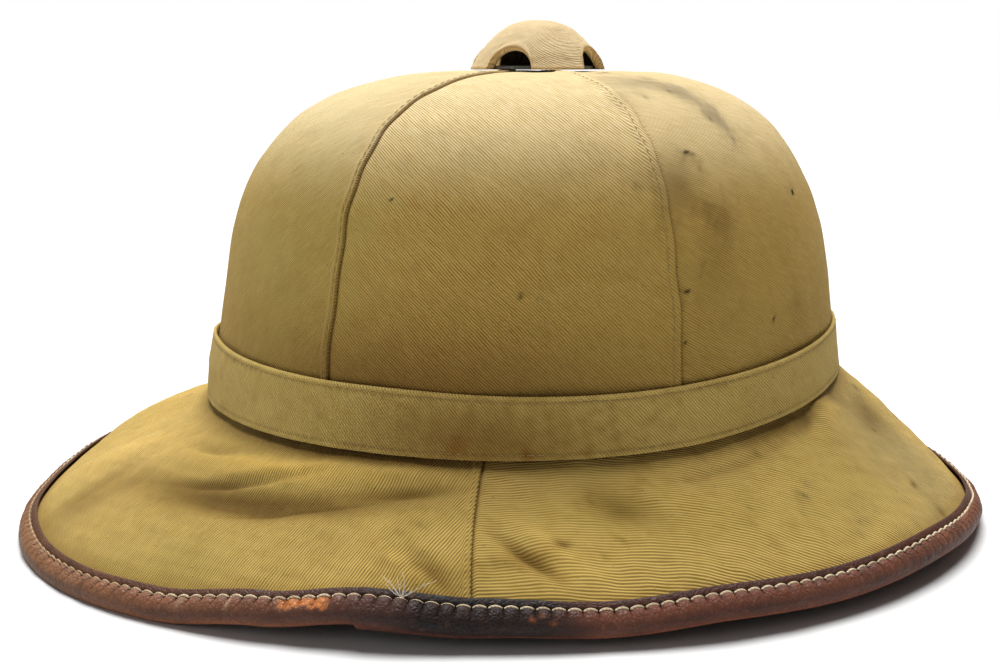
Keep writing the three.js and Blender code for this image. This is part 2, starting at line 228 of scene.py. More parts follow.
def putMesh(name, points, groups, tones=None):
    # groups are (faces, weave), weave holding a UV pair in metres for each corner of each face
    mesh = bpy.data.meshes.new(name)
    sizes = np.concatenate([np.full(len(faces), faces.shape[1]) for faces, _ in groups])
    corners = np.concatenate([faces.ravel() for faces, _ in groups])
    weave = np.concatenate([uv.reshape(-1, 2) for _, uv in groups])
    mesh.vertices.add(len(points))
    mesh.loops.add(len(corners))
    mesh.polygons.add(len(sizes))
    mesh.vertices.foreach_set("co", (points * mm).astype(np.float32).ravel())
    mesh.loops.foreach_set("vertex_index", corners.astype(np.int32))
    mesh.polygons.foreach_set("loop_start", (np.cumsum(sizes) - sizes).astype(np.int32))
    mesh.update(calc_edges=True)
    mesh.uv_layers.new(name="weave").data.foreach_set("uv", weave.astype(np.float32).ravel())
    if tones is not None:
        colour = np.concatenate([tones, np.ones((len(tones), 1))], 1)
        mesh.color_attributes.new("tone", "FLOAT_COLOR", "POINT").data.foreach_set(
            "color", colour.astype(np.float32).ravel()
        )
    mesh.polygons.foreach_set("use_smooth", np.ones(len(sizes), bool))
    mesh.set_sharp_from_angle(angle=math.radians(50))
    piece = bpy.data.objects.new(name, mesh)
    bpy.context.collection.objects.link(piece)
    return piece


def putShell(name, outer, inner, weave, tones, insideTone):
    # closed wall: a fine outer grid, an inner grid four times coarser, and a strip along each edge
    rows, columns = outer.shape[:2]
    coarse = inner[::4, ::4]
    first = rows * columns
    number = np.arange(first).reshape(rows, columns)
    inside = first + np.arange(coarse.shape[0] * coarse.shape[1]).reshape(coarse.shape[:2])
    points = np.concatenate([outer.reshape(-1, 3), coarse.reshape(-1, 3)])
    flat = np.concatenate([weave.reshape(-1, 2), weave[::4, ::4].reshape(-1, 2)])
    squares = gridSquares(rows, columns)[0]
    back = gridSquares(*coarse.shape[:2], first)[0][:, ::-1]
    edges = np.concatenate(
        [
            seamStrip(number[0], inside[0], True),
            seamStrip(number[-1], inside[-1], False),
            seamStrip(number[:, 0], inside[:, 0], False),
            seamStrip(number[:, -1], inside[:, -1], True),
        ]
    )
    colour = np.concatenate([tones.reshape(-1, 3), np.broadcast_to(insideTone, (inside.size, 3))])
    return putMesh(name, points, [(faces, flat[faces]) for faces in (squares, back, edges)], colour)


def putRing(name, grid, weave, tones):
    # closed both ways; weave has one row and one column more than the grid
    rows, columns = grid.shape[:2]
    faces, row, column = gridSquares(rows, columns, wrapRows=True, wrapColumns=True)
    return putMesh(name, grid.reshape(-1, 3), [(faces, weave[row, column])], tones.reshape(-1, 3))


def spotTone(tone, weight, colour):  # draws a tone towards a stain's colour
    return mix(tone, tone * np.array(colour), np.clip(weight, 0, 1)[..., None])


def addStainsAndShading(tone, patches, degrees, level, key, rag):
    # stains and patches of painted light and shade alike: strength * exp(-((turn / wide)^2 + (off /
    # tall)^2) (1 + rag)), rag makes its edge ragged
    for patch in patches:
        turn = turned(degrees, patch["angle"]) / patch["wide"]
        off = (level - patch[key]) / patch["tall"]
        weight = patch["strength"] * np.exp(-(turn**2 + off**2) * (1 + rag))
        tone = spotTone(tone, weight, patch["colour"])
    return tone


# ---- the crown's and brim's laws, the same as the CAD model's

panelFrontBox = boxOf("crown_panel_front")
panelBackBox = boxOf("crown_panel_back")
panelSideBox = boxOf("crown_panel_right")
ringBox = boxOf("ventilator_base")
domeBox = boxOf("ventilator_dome")
bindingBox = boxOf("brim_binding")

crown = {
    "ventX": (ringBox[0][0] + ringBox[1][0]) / 2,
    "ventAhead": 2,  # the ventilator stands this far ahead of the crown's middle
    "top": ringBox[0][2] - gap,
    "curveFrom": 52,  # the wall is upright below this height
    "side": -panelSideBox[0][1],
    "heightPower": 2.82,  # height^p + radius^q = 1 gives the shoulder
    "radiusPower": 3.35,
    "slackFront": 0.039,
    "slackBack": 0.163,
    "wall": 3.6,
    "panelTop": 0.975,
    "lip": 1.2,  # the crown stands this far above the brim's root
    "frontRise": 11.4,  # how much higher the root is at the front
    # the first tone below is painted shade above the band, the second a painted highlight over the top
    "footShadeTone": (0.55, 0.47, 0.42),
    "topHighlightTone": (1.62, 1.95, 4.3),
}
crown["centreX"] = crown["ventX"] - crown["ventAhead"]
crown["rootHeight"] = panelSideBox[0][2] - crown["lip"]
crown["front"] = panelFrontBox[1][0] - crown["centreX"]
crown["back"] = crown["centreX"] - panelBackBox[0][0]

brim = {
    "centreX": -2.75,
    "side": bindingBox[1][1],
    "powerFront": 2.0,
    "powerBack": 2.45,
    "wall": 3.0,
    "beadOut": 3.6,  # leather and bead outside the cork
    "treadLift": 2.2,  # cork's middle above the rim's lowest line
}
brim["front"] = bindingBox[1][0] - brim["centreX"]
brim["back"] = brim["centreX"] - bindingBox[0][0]

# height of the rim's lower edge round one half
rimRows = [
    {"angle": 0, "height": 0},
    {"angle": 8, "height": 0.6},
    {"angle": 20, "height": 4.6},
    {"angle": 34, "height": 6.3},
    {"angle": 50, "height": 5.3},
    {"angle": 64, "height": 5.9},
    {"angle": 78, "height": 3.9},
    {"angle": 92, "height": 5.2},
    {"angle": 106, "height": 7.4},
    {"angle": 117, "height": 4.6},
    {"angle": 130, "height": 0.9},
    {"angle": 142, "height": 0},
    {"angle": 180, "height": 0},
]


def rimHeight(angle):  # a smooth step from each row to the next, the same on both sides
    degrees = np.abs(turned(np.degrees(angle), 0))
    turns = np.array([row["angle"] for row in rimRows], float)
    heights = np.array([row["height"] for row in rimRows], float)
    after = np.clip(np.searchsorted(turns, degrees), 1, len(turns) - 1)
    share = (degrees - turns[after - 1]) / (turns[after] - turns[after - 1])
    return mix(heights[after - 1], heights[after], smooth(share))


def rootHeight(angle):  # where the brim leaves the crown: level, and higher as frontness^5
    return crown["rootHeight"] + crown["frontRise"] * frontness(angle) ** 5


def wallRadius(angle):  # an ellipse with a longer back half
    return ovalRadius(angle, crown["front"], crown["back"], crown["side"], 2)


def curvedShare(height):  # 0 where the wall is upright, 1 at the crown's top
    return np.clip((height - crown["curveFrom"]) / (crown["top"] - crown["curveFrom"]), 0, 1)


def crownRadius(angle, height):  # wall radius * ((1 - u^p)^(1/q) - slack u (1 - u))
    u = curvedShare(height)
    shoulder = np.maximum(1 - u ** crown["heightPower"], 0) ** (1 / crown["radiusPower"])
    slack = mix(crown["slackBack"], crown["slackFront"], frontness(angle))
    return wallRadius(angle) * np.maximum(shoulder - slack * u * (1 - u), 0)


def crownHeight(angle, rise):  # foot + (top - foot) * sin(rise * 90 degrees)^(2/p)
    foot = rootHeight(angle) + crown["lip"]
    return foot + (crown["top"] - foot) * np.sin(rise * np.pi / 2) ** (2 / crown["heightPower"])


def crownPoint(angle, rise):  # the rings' centre moves under the ventilator as curvedShare^8
    height = crownHeight(angle, rise)
    radius = crownRadius(angle, height)
    centre = mix(crown["centreX"], crown["ventX"], curvedShare(height) ** 8)
    return np.stack([centre + radius * np.cos(angle), radius * np.sin(angle), height], -1)


def rimPoint(angle):  # middle of the cork's edge
    power = mix(brim["powerBack"], brim["powerFront"], frontness(angle))
    radius = ovalRadius(angle, brim["front"], brim["back"], brim["side"], power) - brim["beadOut"]
    height = rimHeight(angle) + brim["treadLift"]
    return np.stack([brim["centreX"] + radius * np.cos(angle), radius * np.sin(angle), height], -1)


brimFolds = [
    {"angle": -131, "reach": 0.2, "spread": 22, "width": 0.1, "slant": -0.004, "rise": 2.0},
    {"angle": -130, "reach": 0.42, "spread": 20, "width": 0.11, "slant": -0.004, "rise": -2.0},
    {"angle": -165, "reach": 0.62, "spread": 5, "width": 0.34, "slant": 0.0, "rise": 1.6},
    {"angle": -156, "reach": 0.7, "spread": 5, "width": 0.26, "slant": 0.0, "rise": -1.3},
    {"angle": -28, "reach": 0.15, "spread": 9, "width": 0.12, "slant": -0.004, "rise": 1.5},
    {"angle": -18, "reach": 0.28, "spread": 6, "width": 0.16, "slant": 0.0, "rise": -1.4},
    {"angle": 118, "reach": 0.35, "spread": 20, "width": 0.14, "slant": 0.004, "rise": -1.2},
    {"angle": 40, "reach": 0.3, "spread": 12, "width": 0.16, "slant": 0.0, "rise": 1.1},
    {"angle": 165, "reach": 0.6, "spread": 7, "width": 0.3, "slant": 0.0, "rise": 1.2},
]


def foldRise(angle, reach, folds):  # each fold: rise * exp(-(turn/spread)^2 - (off/width)^2)
    total = 0
    for fold in folds:
        turn = turned(np.degrees(angle), fold["angle"])
        off = reach - fold["reach"] - fold["slant"] * turn
        total = total + fold["rise"] * bell(turn, fold["spread"]) * bell(off, fold["width"])
    return total


def brimPoint(angle, reach, folds=brimFolds):
    # straight in plan from the crown's wall to the rim; the fall is bellied over the neck
    root = wallRadius(angle) + 1
    inner = np.stack(
        [crown["centreX"] + root * np.cos(angle), root * np.sin(angle), rootHeight(angle)], -1
    )
    outer = rimPoint(angle)
    outer[..., 2] += brim["wall"] / 2
    share = np.clip(reach, 0, 1)
    belly = mix(0.45, 0.07, frontness(angle))
    hollow = mix(0.2, 0.0, frontness(angle))
    fall = (1 - belly) * share + belly * share**3.5 + hollow * (1 - (1 - share) ** 5)
    point = mix(inner, outer, reach[..., None])
    point[..., 2] = mix(inner[..., 2], outer[..., 2], fall / (1 + hollow))
    point[..., 2] += foldRise(angle, share, folds) * np.minimum(1, 6 * (1 - share))
    return point


def edgeFrame(angle):
    # the cork's edge, the way down to it and the way up off its face, along the brim's last stretch
    edge = rimPoint(angle)
    lap = brimPoint(angle, np.full(np.shape(angle), 0.84))
    lap[..., 2] -= brim["wall"] / 2
    fall = np.arctan2(
        lap[..., 2] - edge[..., 2], np.hypot(lap[..., 0] - edge[..., 0], lap[..., 1] - edge[..., 1])
    )
    out = ringPoints(angle)
    upright = np.array([0, 0, 1.0])
    down = out * np.cos(fall)[..., None] - upright * np.sin(fall)[..., None]
    up = out * np.sin(fall)[..., None] + upright * np.cos(fall)[..., None]
    return edge, down, up


# ---- cloth, thread, leather and metal


def addNode(tree, kind, settings=None, inputs=None):
    # adds a node with its settings; an input is a value or another node's output
    made = tree.nodes.new(kind)
    for key, value in (settings or {}).items():
        setattr(made, key, value)
    for key, value in (inputs or {}).items():
        if isinstance(value, bpy.types.NodeSocket):
            tree.links.new(value, made.inputs[key])
        else:
            made.inputs[key].default_value = value
    return made


def newTree(name):  # a material with no nodes yet
    material = bpy.data.materials.new(name)
    material.use_nodes = True
    tree = material.node_tree
    tree.nodes.clear()
    return material, tree


def calc(tree, operation, a, b=0.0, c=0.0):  # MULTIPLY_ADD gives a * b + c
    inputs = {0: a, 1: b} if operation != "MULTIPLY_ADD" else {0: a, 1: b, 2: c}
    return addNode(tree, "ShaderNodeMath", {"operation": operation}, inputs).outputs[0]


def blendColours(tree, share, a, b, how="MIX"):  # colour a at share 0, b at share 1
    settings = {"data_type": "RGBA", "blend_type": how}
    made = addNode(tree, "ShaderNodeMix", settings)
    for key, value in (("Factor", share), ("A", a), ("B", b)):
        kind = "VALUE" if key == "Factor" else "RGBA"
        socket = next(s for s in made.inputs if s.name == key and s.type == kind)
        if isinstance(value, bpy.types.NodeSocket):
            tree.links.new(value, socket)
        else:
            socket.default_value = (*value, 1) if kind == "RGBA" else value
    return next(s for s in made.outputs if s.type == "RGBA")


def ranged(tree, value, low, high, toLow=0.0, toHigh=1.0):  # low..high becomes toLow..toHigh
    inputs = {"Value": value, "From Min": low, "From Max": high, "To Min": toLow, "To Max": toHigh}
    return addNode(tree, "ShaderNodeMapRange", None, inputs).outputs["Result"]


def noiseOn(tree, vector, scale, detail=2.0, roughness=0.5):  # scale is in lumps per metre
    inputs = {"Vector": vector, "Scale": scale, "Detail": detail, "Roughness": roughness}
    return addNode(tree, "ShaderNodeTexNoise", None, inputs).outputs["Fac"]


def pieceTone(tree):  # the colour stored on the mesh's own points
    return addNode(tree, "ShaderNodeAttribute", {"attribute_name": "tone"}).outputs["Color"]


def putShader(tree, colour, bump, rough, constants):
    # the surface and the material's output; constants go on the shader's own sockets
    inputs = {"Base Color": colour, "Normal": bump.outputs[0], "Roughness": rough}
    shader = addNode(tree, "ShaderNodeBsdfPrincipled", None, inputs)
    for key, value in constants.items():
        shader.inputs[key].default_value = value
    out = addNode(tree, "ShaderNodeOutputMaterial")
    tree.links.new(shader.outputs[0], out.inputs[0])


def clothMaterial(name, look):
    # twill: slanted ribs of crossing yarns along the piece's own weave map, with slubs, stains and pills
    material, tree = newTree(name)
    weave = addNode(tree, "ShaderNodeUVMap", {"uv_map": "weave"}).outputs[0]
    place = addNode(tree, "ShaderNodeTexCoord").outputs["Object"]
    split = addNode(tree, "ShaderNodeSeparateXYZ", None, {0: weave})
    across, along = split.outputs[0], split.outputs[1]
    pitch = look["ribPitch"] * mm
    wander = noiseOn(tree, weave, 110, 2)
    bent = calc(tree, "MULTIPLY_ADD", wander, look["ribWander"] * mm, across)
    ribWave = calc(tree, "SINE", calc(tree, "MULTIPLY", bent, 2 * math.pi / pitch))
    rib = calc(tree, "MULTIPLY_ADD", ribWave, 0.5, 0.5)
    step = calc(tree, "MULTIPLY_ADD", across, look["yarnSlant"], along)
    yarnTurns = 2 * math.pi / (pitch * look["yarnPitch"])
    yarnWave = calc(tree, "SINE", calc(tree, "MULTIPLY", step, yarnTurns))
    yarn = calc(tree, "MULTIPLY_ADD", yarnWave, 0.5, 0.5)
    ribHeight = calc(tree, "MULTIPLY", rib, calc(tree, "MULTIPLY_ADD", yarn, 0.4, 0.6))

    slubWide, slubLong = look["slubSize"]
    stretch = {"Vector": weave, "Scale": (1 / (slubWide * mm), 1 / (slubLong * mm), 1)}
    slub = noiseOn(tree, addNode(tree, "ShaderNodeMapping", None, stretch).outputs[0], 1.0, 2)
    cloudy = noiseOn(tree, place, 26, 3)
    mottled = noiseOn(tree, place, 150, 4, 0.6)
    pill = ranged(tree, noiseOn(tree, place, 620, 1), 0.7, 0.78)
    speck = ranged(tree, noiseOn(tree, place, 900, 2, 0.6), 0.68, 0.74)

    valley = ranged(tree, ribHeight, 0.05, 0.6)
    body = blendColours(tree, valley, look["valleyColour"], look["ribColour"])
    thin = blendColours(tree, ranged(tree, slub, 0.35, 0.7, 0, look["slubTone"]), body, look["paleYarn"])
    cloud = ranged(tree, cloudy, 0.4, 0.68, 0, look["cloudTone"])
    worn = blendColours(tree, cloud, thin, look["cloudColour"])
    mottle = ranged(tree, mottled, 0.5, 0.75, 0, look["mottleTone"])
    dirty = blendColours(tree, mottle, worn, look["mottleColour"])
    fleck = calc(tree, "MULTIPLY", speck, look["speckTone"])
    flecked = blendColours(tree, fleck, dirty, look["speckColour"])
    colour = blendColours(tree, 1.0, flecked, pieceTone(tree), "MULTIPLY")

    height = calc(tree, "MULTIPLY_ADD", slub, 0.35, ribHeight)
    height = calc(tree, "MULTIPLY_ADD", pill, 0.8, height)
    height = calc(tree, "MULTIPLY_ADD", mottled, 0.5, height)
    inputs = {"Height": height, "Strength": look["bump"], "Distance": look["ribDepth"] * mm}
    bump = addNode(tree, "ShaderNodeBump", None, inputs)
    rough = ranged(tree, ribHeight, 0, 1, 0.96, 0.86)
    sheen = {"Specular IOR Level": 0.15, "Sheen Weight": 0.05, "Sheen Roughness": 0.5}
    putShader(tree, colour, bump, rough, sheen)
    return material


khaki = {
    "ribPitch": 0.76,
    "ribWander": 0.8,
    "ribDepth": 0.2,
    "yarnPitch": 0.62,  # share of the ribs' pitch
    "yarnSlant": 0.8,
    "slubSize": (0.7, 6),  # thick places in the yarn, across and along the ribs
    "bump": 0.8,
    "ribColour": (0.52, 0.335, 0.076),
    "valleyColour": (0.22, 0.125, 0.02),
    "paleYarn": (0.64, 0.45, 0.145),
    "slubTone": 0.3,
    "cloudColour": (0.44, 0.3, 0.075),
    "cloudTone": 0.4,
    "mottleColour": (0.34, 0.21, 0.045),
    "mottleTone": 0.45,
    "speckColour": (0.16, 0.12, 0.07),
    "speckTone": 0.5,
}
greener = {
    "ribPitch": 0.86,
    "ribColour": (0.61, 0.41, 0.112),
    "valleyColour": (0.2, 0.125, 0.024),
    "cloudColour": (0.4, 0.29, 0.075),
}
duller = {"ribColour": (0.58, 0.42, 0.13), "valleyColour": (0.28, 0.185, 0.045)}
bleached = {
    "ribPitch": 0.8,
    "ribDepth": 0.28,
    "ribColour": (0.86, 0.67, 0.38),
    "valleyColour": (0.55, 0.38, 0.18),
    "paleYarn": (0.92, 0.79, 0.53),
    "cloudColour": (0.78, 0.62, 0.36),
    "mottleColour": (0.6, 0.43, 0.2),
}
crownCloth = clothMaterial("crownTwill", khaki)
brimCloth = clothMaterial("brimTwill", {**khaki, **greener})
bandCloth = clothMaterial("bandTwill", {**khaki, **duller})
ventCloth = clothMaterial("ventilatorTwill", {**khaki, **bleached})

leatherLook = {
    "grainSize": 1.3,
    "grainWarp": 0.9,  # how far the grain's cells are pulled out of true
    "grainDepth": 0.16,
    "roughness": 0.5,
    "paleColour": (0.42, 0.2, 0.11),
    "rubTone": 0.2,
    "darkColour": (0.035, 0.018, 0.013),
    "smearTone": 0.55,
}


def leatherMaterial(name, look):
    # old leather: pebbled grain with cracks between, smears of dark polish and dry pale rubs
    material, tree = newTree(name)
    place = addNode(tree, "ShaderNodeTexCoord").outputs["Object"]
    scale = 1 / (look["grainSize"] * mm)
    inputs = {"Vector": place, "Scale": scale * 0.6, "Detail": 1.0}
    warp = addNode(tree, "ShaderNodeTexNoise", None, inputs).outputs["Color"]
    inputs = {0: warp, 1: (look["grainWarp"] * mm,) * 3, 2: place}
    moved = addNode(tree, "ShaderNodeVectorMath", {"operation": "MULTIPLY_ADD"}, inputs)
    inputs = {"Vector": moved.outputs[0], "Scale": scale}
    cells = addNode(tree, "ShaderNodeTexVoronoi", {"feature": "DISTANCE_TO_EDGE"}, inputs)
    pebble = ranged(tree, cells.outputs["Distance"], 0.0, 0.28)
    smear = noiseOn(tree, place, 75, 4, 0.6)
    rub = noiseOn(tree, place, 330, 3, 0.65)
    crack = ranged(tree, noiseOn(tree, place, 900, 2), 0.62, 0.7)

    smeared = ranged(tree, smear, 0.48, 0.7, 0, look["smearTone"])
    dark = blendColours(tree, smeared, pieceTone(tree), look["darkColour"])
    dry = ranged(tree, rub, 0.58, 0.76, 0, look["rubTone"])
    rubbed = blendColours(tree, dry, dark, look["paleColour"])
    creased = blendColours(tree, ranged(tree, pebble, 0.0, 0.5, 0.4, 0), rubbed, look["darkColour"])
    colour = blendColours(tree, calc(tree, "MULTIPLY", crack, 0.4), creased, look["darkColour"])

    height = calc(tree, "MULTIPLY_ADD", rub, 0.8, pebble)
    height = calc(tree, "SUBTRACT", height, calc(tree, "MULTIPLY", crack, 0.5))
    inputs = {"Height": height, "Strength": 0.7, "Distance": look["grainDepth"] * mm}
    bump = addNode(tree, "ShaderNodeBump", None, inputs)
    rough = ranged(tree, rub, 0.3, 0.7, look["roughness"] - 0.1, look["roughness"] + 0.22)
    putShader(tree, colour, bump, rough, {"Specular IOR Level": 0.26})
    return material


threadLook = {"twistPitch": 0.9, "plyDepth": 0.1, "soilTone": 0.6}


def threadMaterial(name, colour, shade):
    # twisted thread: slanting plies along the piece's weave map, soiled in the hollows
    material, tree = newTree(name)
    weave = addNode(tree, "ShaderNodeUVMap", {"uv_map": "weave"}).outputs[0]
    place = addNode(tree, "ShaderNodeTexCoord").outputs["Object"]
    split = addNode(tree, "ShaderNodeSeparateXYZ", None, {0: weave})
    around = calc(tree, "MULTIPLY", split.outputs[1], 2 * math.pi)
    turns = 2 * math.pi / (threadLook["twistPitch"] * mm)
    twist = calc(tree, "MULTIPLY_ADD", split.outputs[0], turns, around)
    ply = calc(tree, "MULTIPLY_ADD", calc(tree, "SINE", twist), 0.5, 0.5)
    soil = ranged(tree, noiseOn(tree, place, 90, 3), 0.42, 0.66)
    base = blendColours(tree, calc(tree, "MULTIPLY", soil, threadLook["soilTone"]), colour, shade)
    plied = blendColours(tree, ranged(tree, ply, 0.0, 0.5, 0.5, 0), base, shade)
    mixed = blendColours(tree, 1.0, plied, pieceTone(tree), "MULTIPLY")
    inputs = {"Height": ply, "Strength": 0.7, "Distance": threadLook["plyDepth"] * mm}
    bump = addNode(tree, "ShaderNodeBump", None, inputs)
    putShader(tree, mixed, bump, 0.8, {"Sheen Weight": 0.1})
    return material


ringLook = {
    "paint": (0.105, 0.125, 0.14),
    "chipped": (0.3, 0.29, 0.27),
    "chipTone": 0.7,
    "dust": (0.22, 0.19, 0.13),
    "dustTone": 0.45,
    "chipDepth": 0.1,
}


def ringMaterial(name):
    # dull grey-blue painted metal, chipped and dusty
    material, tree = newTree(name)
    place = addNode(tree, "ShaderNodeTexCoord").outputs["Object"]
    chip = ranged(tree, noiseOn(tree, place, 420, 4, 0.65), 0.55, 0.66)
    dust = ranged(tree, noiseOn(tree, place, 120, 3), 0.4, 0.7)
    chipped = calc(tree, "MULTIPLY", chip, ringLook["chipTone"])
    dusty = calc(tree, "MULTIPLY", dust, ringLook["dustTone"])
    paint = blendColours(tree, chipped, ringLook["paint"], ringLook["chipped"])
    colour = blendColours(tree, dusty, paint, ringLook["dust"])
    inputs = {"Height": chip, "Strength": 0.5, "Distance": ringLook["chipDepth"] * mm}
    bump = addNode(tree, "ShaderNodeBump", None, inputs)
    rough = ranged(tree, chip, 0, 1, 0.62, 0.4)
    putShader(tree, colour, bump, rough, {"Metallic": 0.35})
    return material


leather = leatherMaterial("edgeLeather", leatherLook)
creamThread = threadMaterial("creamThread", (0.72, 0.6, 0.4), (0.36, 0.25, 0.13))
khakiThread = threadMaterial("khakiThread", (0.4, 0.27, 0.085), (0.2, 0.13, 0.04))
ringPaint = ringMaterial("ringPaint")
print("cloth, leather, thread and paint are mixed")


def finishPiece(piece, material, slotName, *nodes):  # nodes are the CAD nodes it stands for
    piece.data.materials.append(material)
    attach(piece, "root")
    if nodes:
        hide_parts(*nodes)
    return piece


# ---- crown panels

panels = {
    "seamFront": 64,  # degrees from the front, at the crown's foot
    "seamBack": 129,
    "driftFront": 5,  # degrees that the seam leans by, up to the top
    "driftBack": 10,
    "rows": 169,
    "columnSize": 1.0,  # across the middle of a panel, at its foot
    "lapRaise": 0.6,  # the folded lap stands this far proud
    "stitchInFront": 2.5,  # stitches' distance from the folded edge
    "stitchInBack": 1.3,
    "stitchDip": 0.28,
    "tuck": 2.6,  # the lower panel runs on beneath the lap
    "tuckDrop": 0.6,
    "wobble": 0.35,
}
# columns near a seam, in millimetres from the panel's edge
edgeSteps = np.array(
    [0, 0.12, 0.28, 0.5, 0.8, 1.15, 1.5, 1.85, 2.15, 2.45, 2.75, 3.1, 3.6, 4.2, 5.0, 6.0, 7.2]
)


def seamTurn(seam, rise):  # radians; the seam leans towards the side as rise^4, and wavers a little
    toFront = abs(seam) < 90
    lean = panels["driftFront"] if toFront else -panels["driftBack"]
    side = math.copysign(1, math.sin(math.radians(seam)))
    waver = panels["wobble"] / 100 * np.sin(rise * 23 + seam) + panels["wobble"] / 140 * np.sin(rise * 51)
    return np.radians(seam + side * lean * rise**4) + waver


def evenRises(rows):  # rises that space the rows evenly up the crown's side
    rise = np.linspace(0, crown["panelTop"], 1500)
    line = crownPoint(np.full(1500, -np.pi / 2), rise)
    length = runLength(line)
    even = np.linspace(0, length[-1], rows)
    return np.interp(even, length, rise), even


def lapHeight(x, stitchIn):
    # over the seam: a raised flat lap, rounded at its fold, with a dip along the stitching
    raised = panels["lapRaise"] * (1 - smooth((x - stitchIn - 0.5) / 1.6))
    rounded = -0.5 * np.exp(-np.maximum(x, 0) / 0.22)
    dip = -panels["stitchDip"] * bell(x - stitchIn, 0.45)
    return raised + rounded + dip


def tuckHeight(x):  # under the lap: the cloth dives beneath it and comes level again outside
    return -panels["tuckDrop"] * (1 - smooth((x + 0.2) / 2.2))


def edgeColumns(width, middle):
    # distances across a panel: fixed steps near each edge, even steps between
    margin = np.minimum(edgeSteps[-1], 0.3 * width)
    near = edgeSteps / edgeSteps[-1] * margin[:, None]
    share = np.linspace(0, 1, middle + 2)[1:-1]
    between = margin[:, None] + (width - 2 * margin)[:, None] * share
    return np.concatenate([near, between, width[:, None] - near[:, ::-1]], 1)


crownDents = [
    {"angle": -66, "height": 126, "wide": 4, "tall": 6, "depth": 0.9},
    {"angle": -61, "height": 116, "wide": 4, "tall": 9, "depth": -1.5},
    {"angle": -54, "height": 107, "wide": 5, "tall": 12, "depth": 0.8},
    {"angle": -90, "height": 96, "wide": 16, "tall": 22, "depth": 0.8},
    {"angle": -38, "height": 88, "wide": 12, "tall": 26, "depth": -0.8},
    {"angle": -150, "height": 92, "wide": 18, "tall": 24, "depth": -0.7},
    {"angle": -112, "height": 128, "wide": 10, "tall": 12, "depth": 0.6},
    {"angle": 75, "height": 100, "wide": 18, "tall": 24, "depth": -0.8},
    {"angle": 150, "height": 110, "wide": 16, "tall": 20, "depth": 0.7},
    {"angle": 20, "height": 95, "wide": 16, "tall": 26, "depth": 0.6},
]
crownStainsAndHighlight = [
    {"angle": -53, "height": 146, "wide": 12, "tall": 2.2, "colour": (0.62, 0.62, 0.64), "strength": 0.9},
    {"angle": -42.5, "height": 143, "wide": 5, "tall": 4, "colour": (0.5, 0.5, 0.53), "strength": 0.9},
    {
        "angle": -40.8,
        "height": 135.5,
        "wide": 2.4,
        "tall": 4.5,
        "colour": (0.48, 0.48, 0.52),
        "strength": 0.9,
    },
    {"angle": -66, "height": 141, "wide": 4, "tall": 3, "colour": (0.74, 0.73, 0.7), "strength": 0.6},
    {"angle": -61, "height": 114, "wide": 5, "tall": 8, "colour": (0.6, 0.56, 0.48), "strength": 0.9},
    {"angle": -52.5, "height": 107, "wide": 3.5, "tall": 7, "colour": (0.62, 0.58, 0.5), "strength": 0.8},
    {"angle": -56, "height": 92, "wide": 5, "tall": 12, "colour": (0.8, 0.77, 0.7), "strength": 0.7},
    {"angle": -34, "height": 76, "wide": 3, "tall": 5, "colour": (0.75, 0.72, 0.66), "strength": 0.5},
    {"angle": -93.2, "height": 87, "wide": 0.5, "tall": 0.8, "colour": (0.1, 0.08, 0.07), "strength": 1.0},
    {"angle": -128, "height": 60, "wide": 22, "tall": 10, "colour": (0.8, 0.76, 0.68), "strength": 0.5},
    # painted light: this patch makes the side lighter and bluer
    {"angle": -146, "height": 95, "wide": 20, "tall": 34, "colour": (0.98, 1.08, 1.15), "strength": 1.0},
    {"angle": 60, "height": 90, "wide": 20, "tall": 18, "colour": (0.85, 0.83, 0.8), "strength": 0.5},
    {"angle": 140, "height": 120, "wide": 14, "tall": 14, "colour": (0.82, 0.8, 0.75), "strength": 0.5},
]


def crownSurface(angle, rise, offset):
    # the crown's law, pushed along its normal by dents, soft unevenness and the seam's own relief
    base = crownPoint(angle, rise)
    normal = unitNormals(base)
    degrees = np.degrees(angle)
    push = offset + 0.35 * unevenness(base, 46, 3) + 0.1 * unevenness(base, 13, 5)
    for dent in crownDents:
        across = bell(turned(degrees, dent["angle"]), dent["wide"])
        push = push + dent["depth"] * across * bell(base[..., 2] - dent["height"], dent["tall"])
    return base + normal * push[..., None], base - normal * crown["wall"]


def crownTone(points, angle):  # stains and a patch of painted light on one side, then painted shade above the band, then a painted highlight over the top
    degrees = np.degrees(angle)
    tone = np.ones(points.shape)
    rag = 0.35 * unevenness(points, 9, 8) + 0.25 * unevenness(points, 3.5, 9)
    tone = addStainsAndShading(tone, crownStainsAndHighlight, degrees, points[..., 2], "height", rag)
    # painted shade above the band, darkest at the middle of one side
    foot = (1 - smooth((points[..., 2] - 56) / 36)) * (0.15 + 0.85 * bell(turned(degrees, -106), 36))
    tone = spotTone(tone, foot, crown["footShadeTone"])
    # painted highlight: the top is paler and bluer towards the crest, as if lit from above
    crest = smooth((points[..., 2] - 106) / 38)[..., None]
    return tone * mix(np.ones(3), np.array(crown["topHighlightTone"]), crest)


def weaveMap(across, up, ribAngle):
    # turns flat cloth coordinates so that ribs run along V; metres
    turn = math.radians(ribAngle)
    ribwise = across * math.cos(turn) + up * math.sin(turn)
    sideways = across * math.sin(turn) - up * math.cos(turn)
    return np.stack([sideways, ribwise], -1) * mm


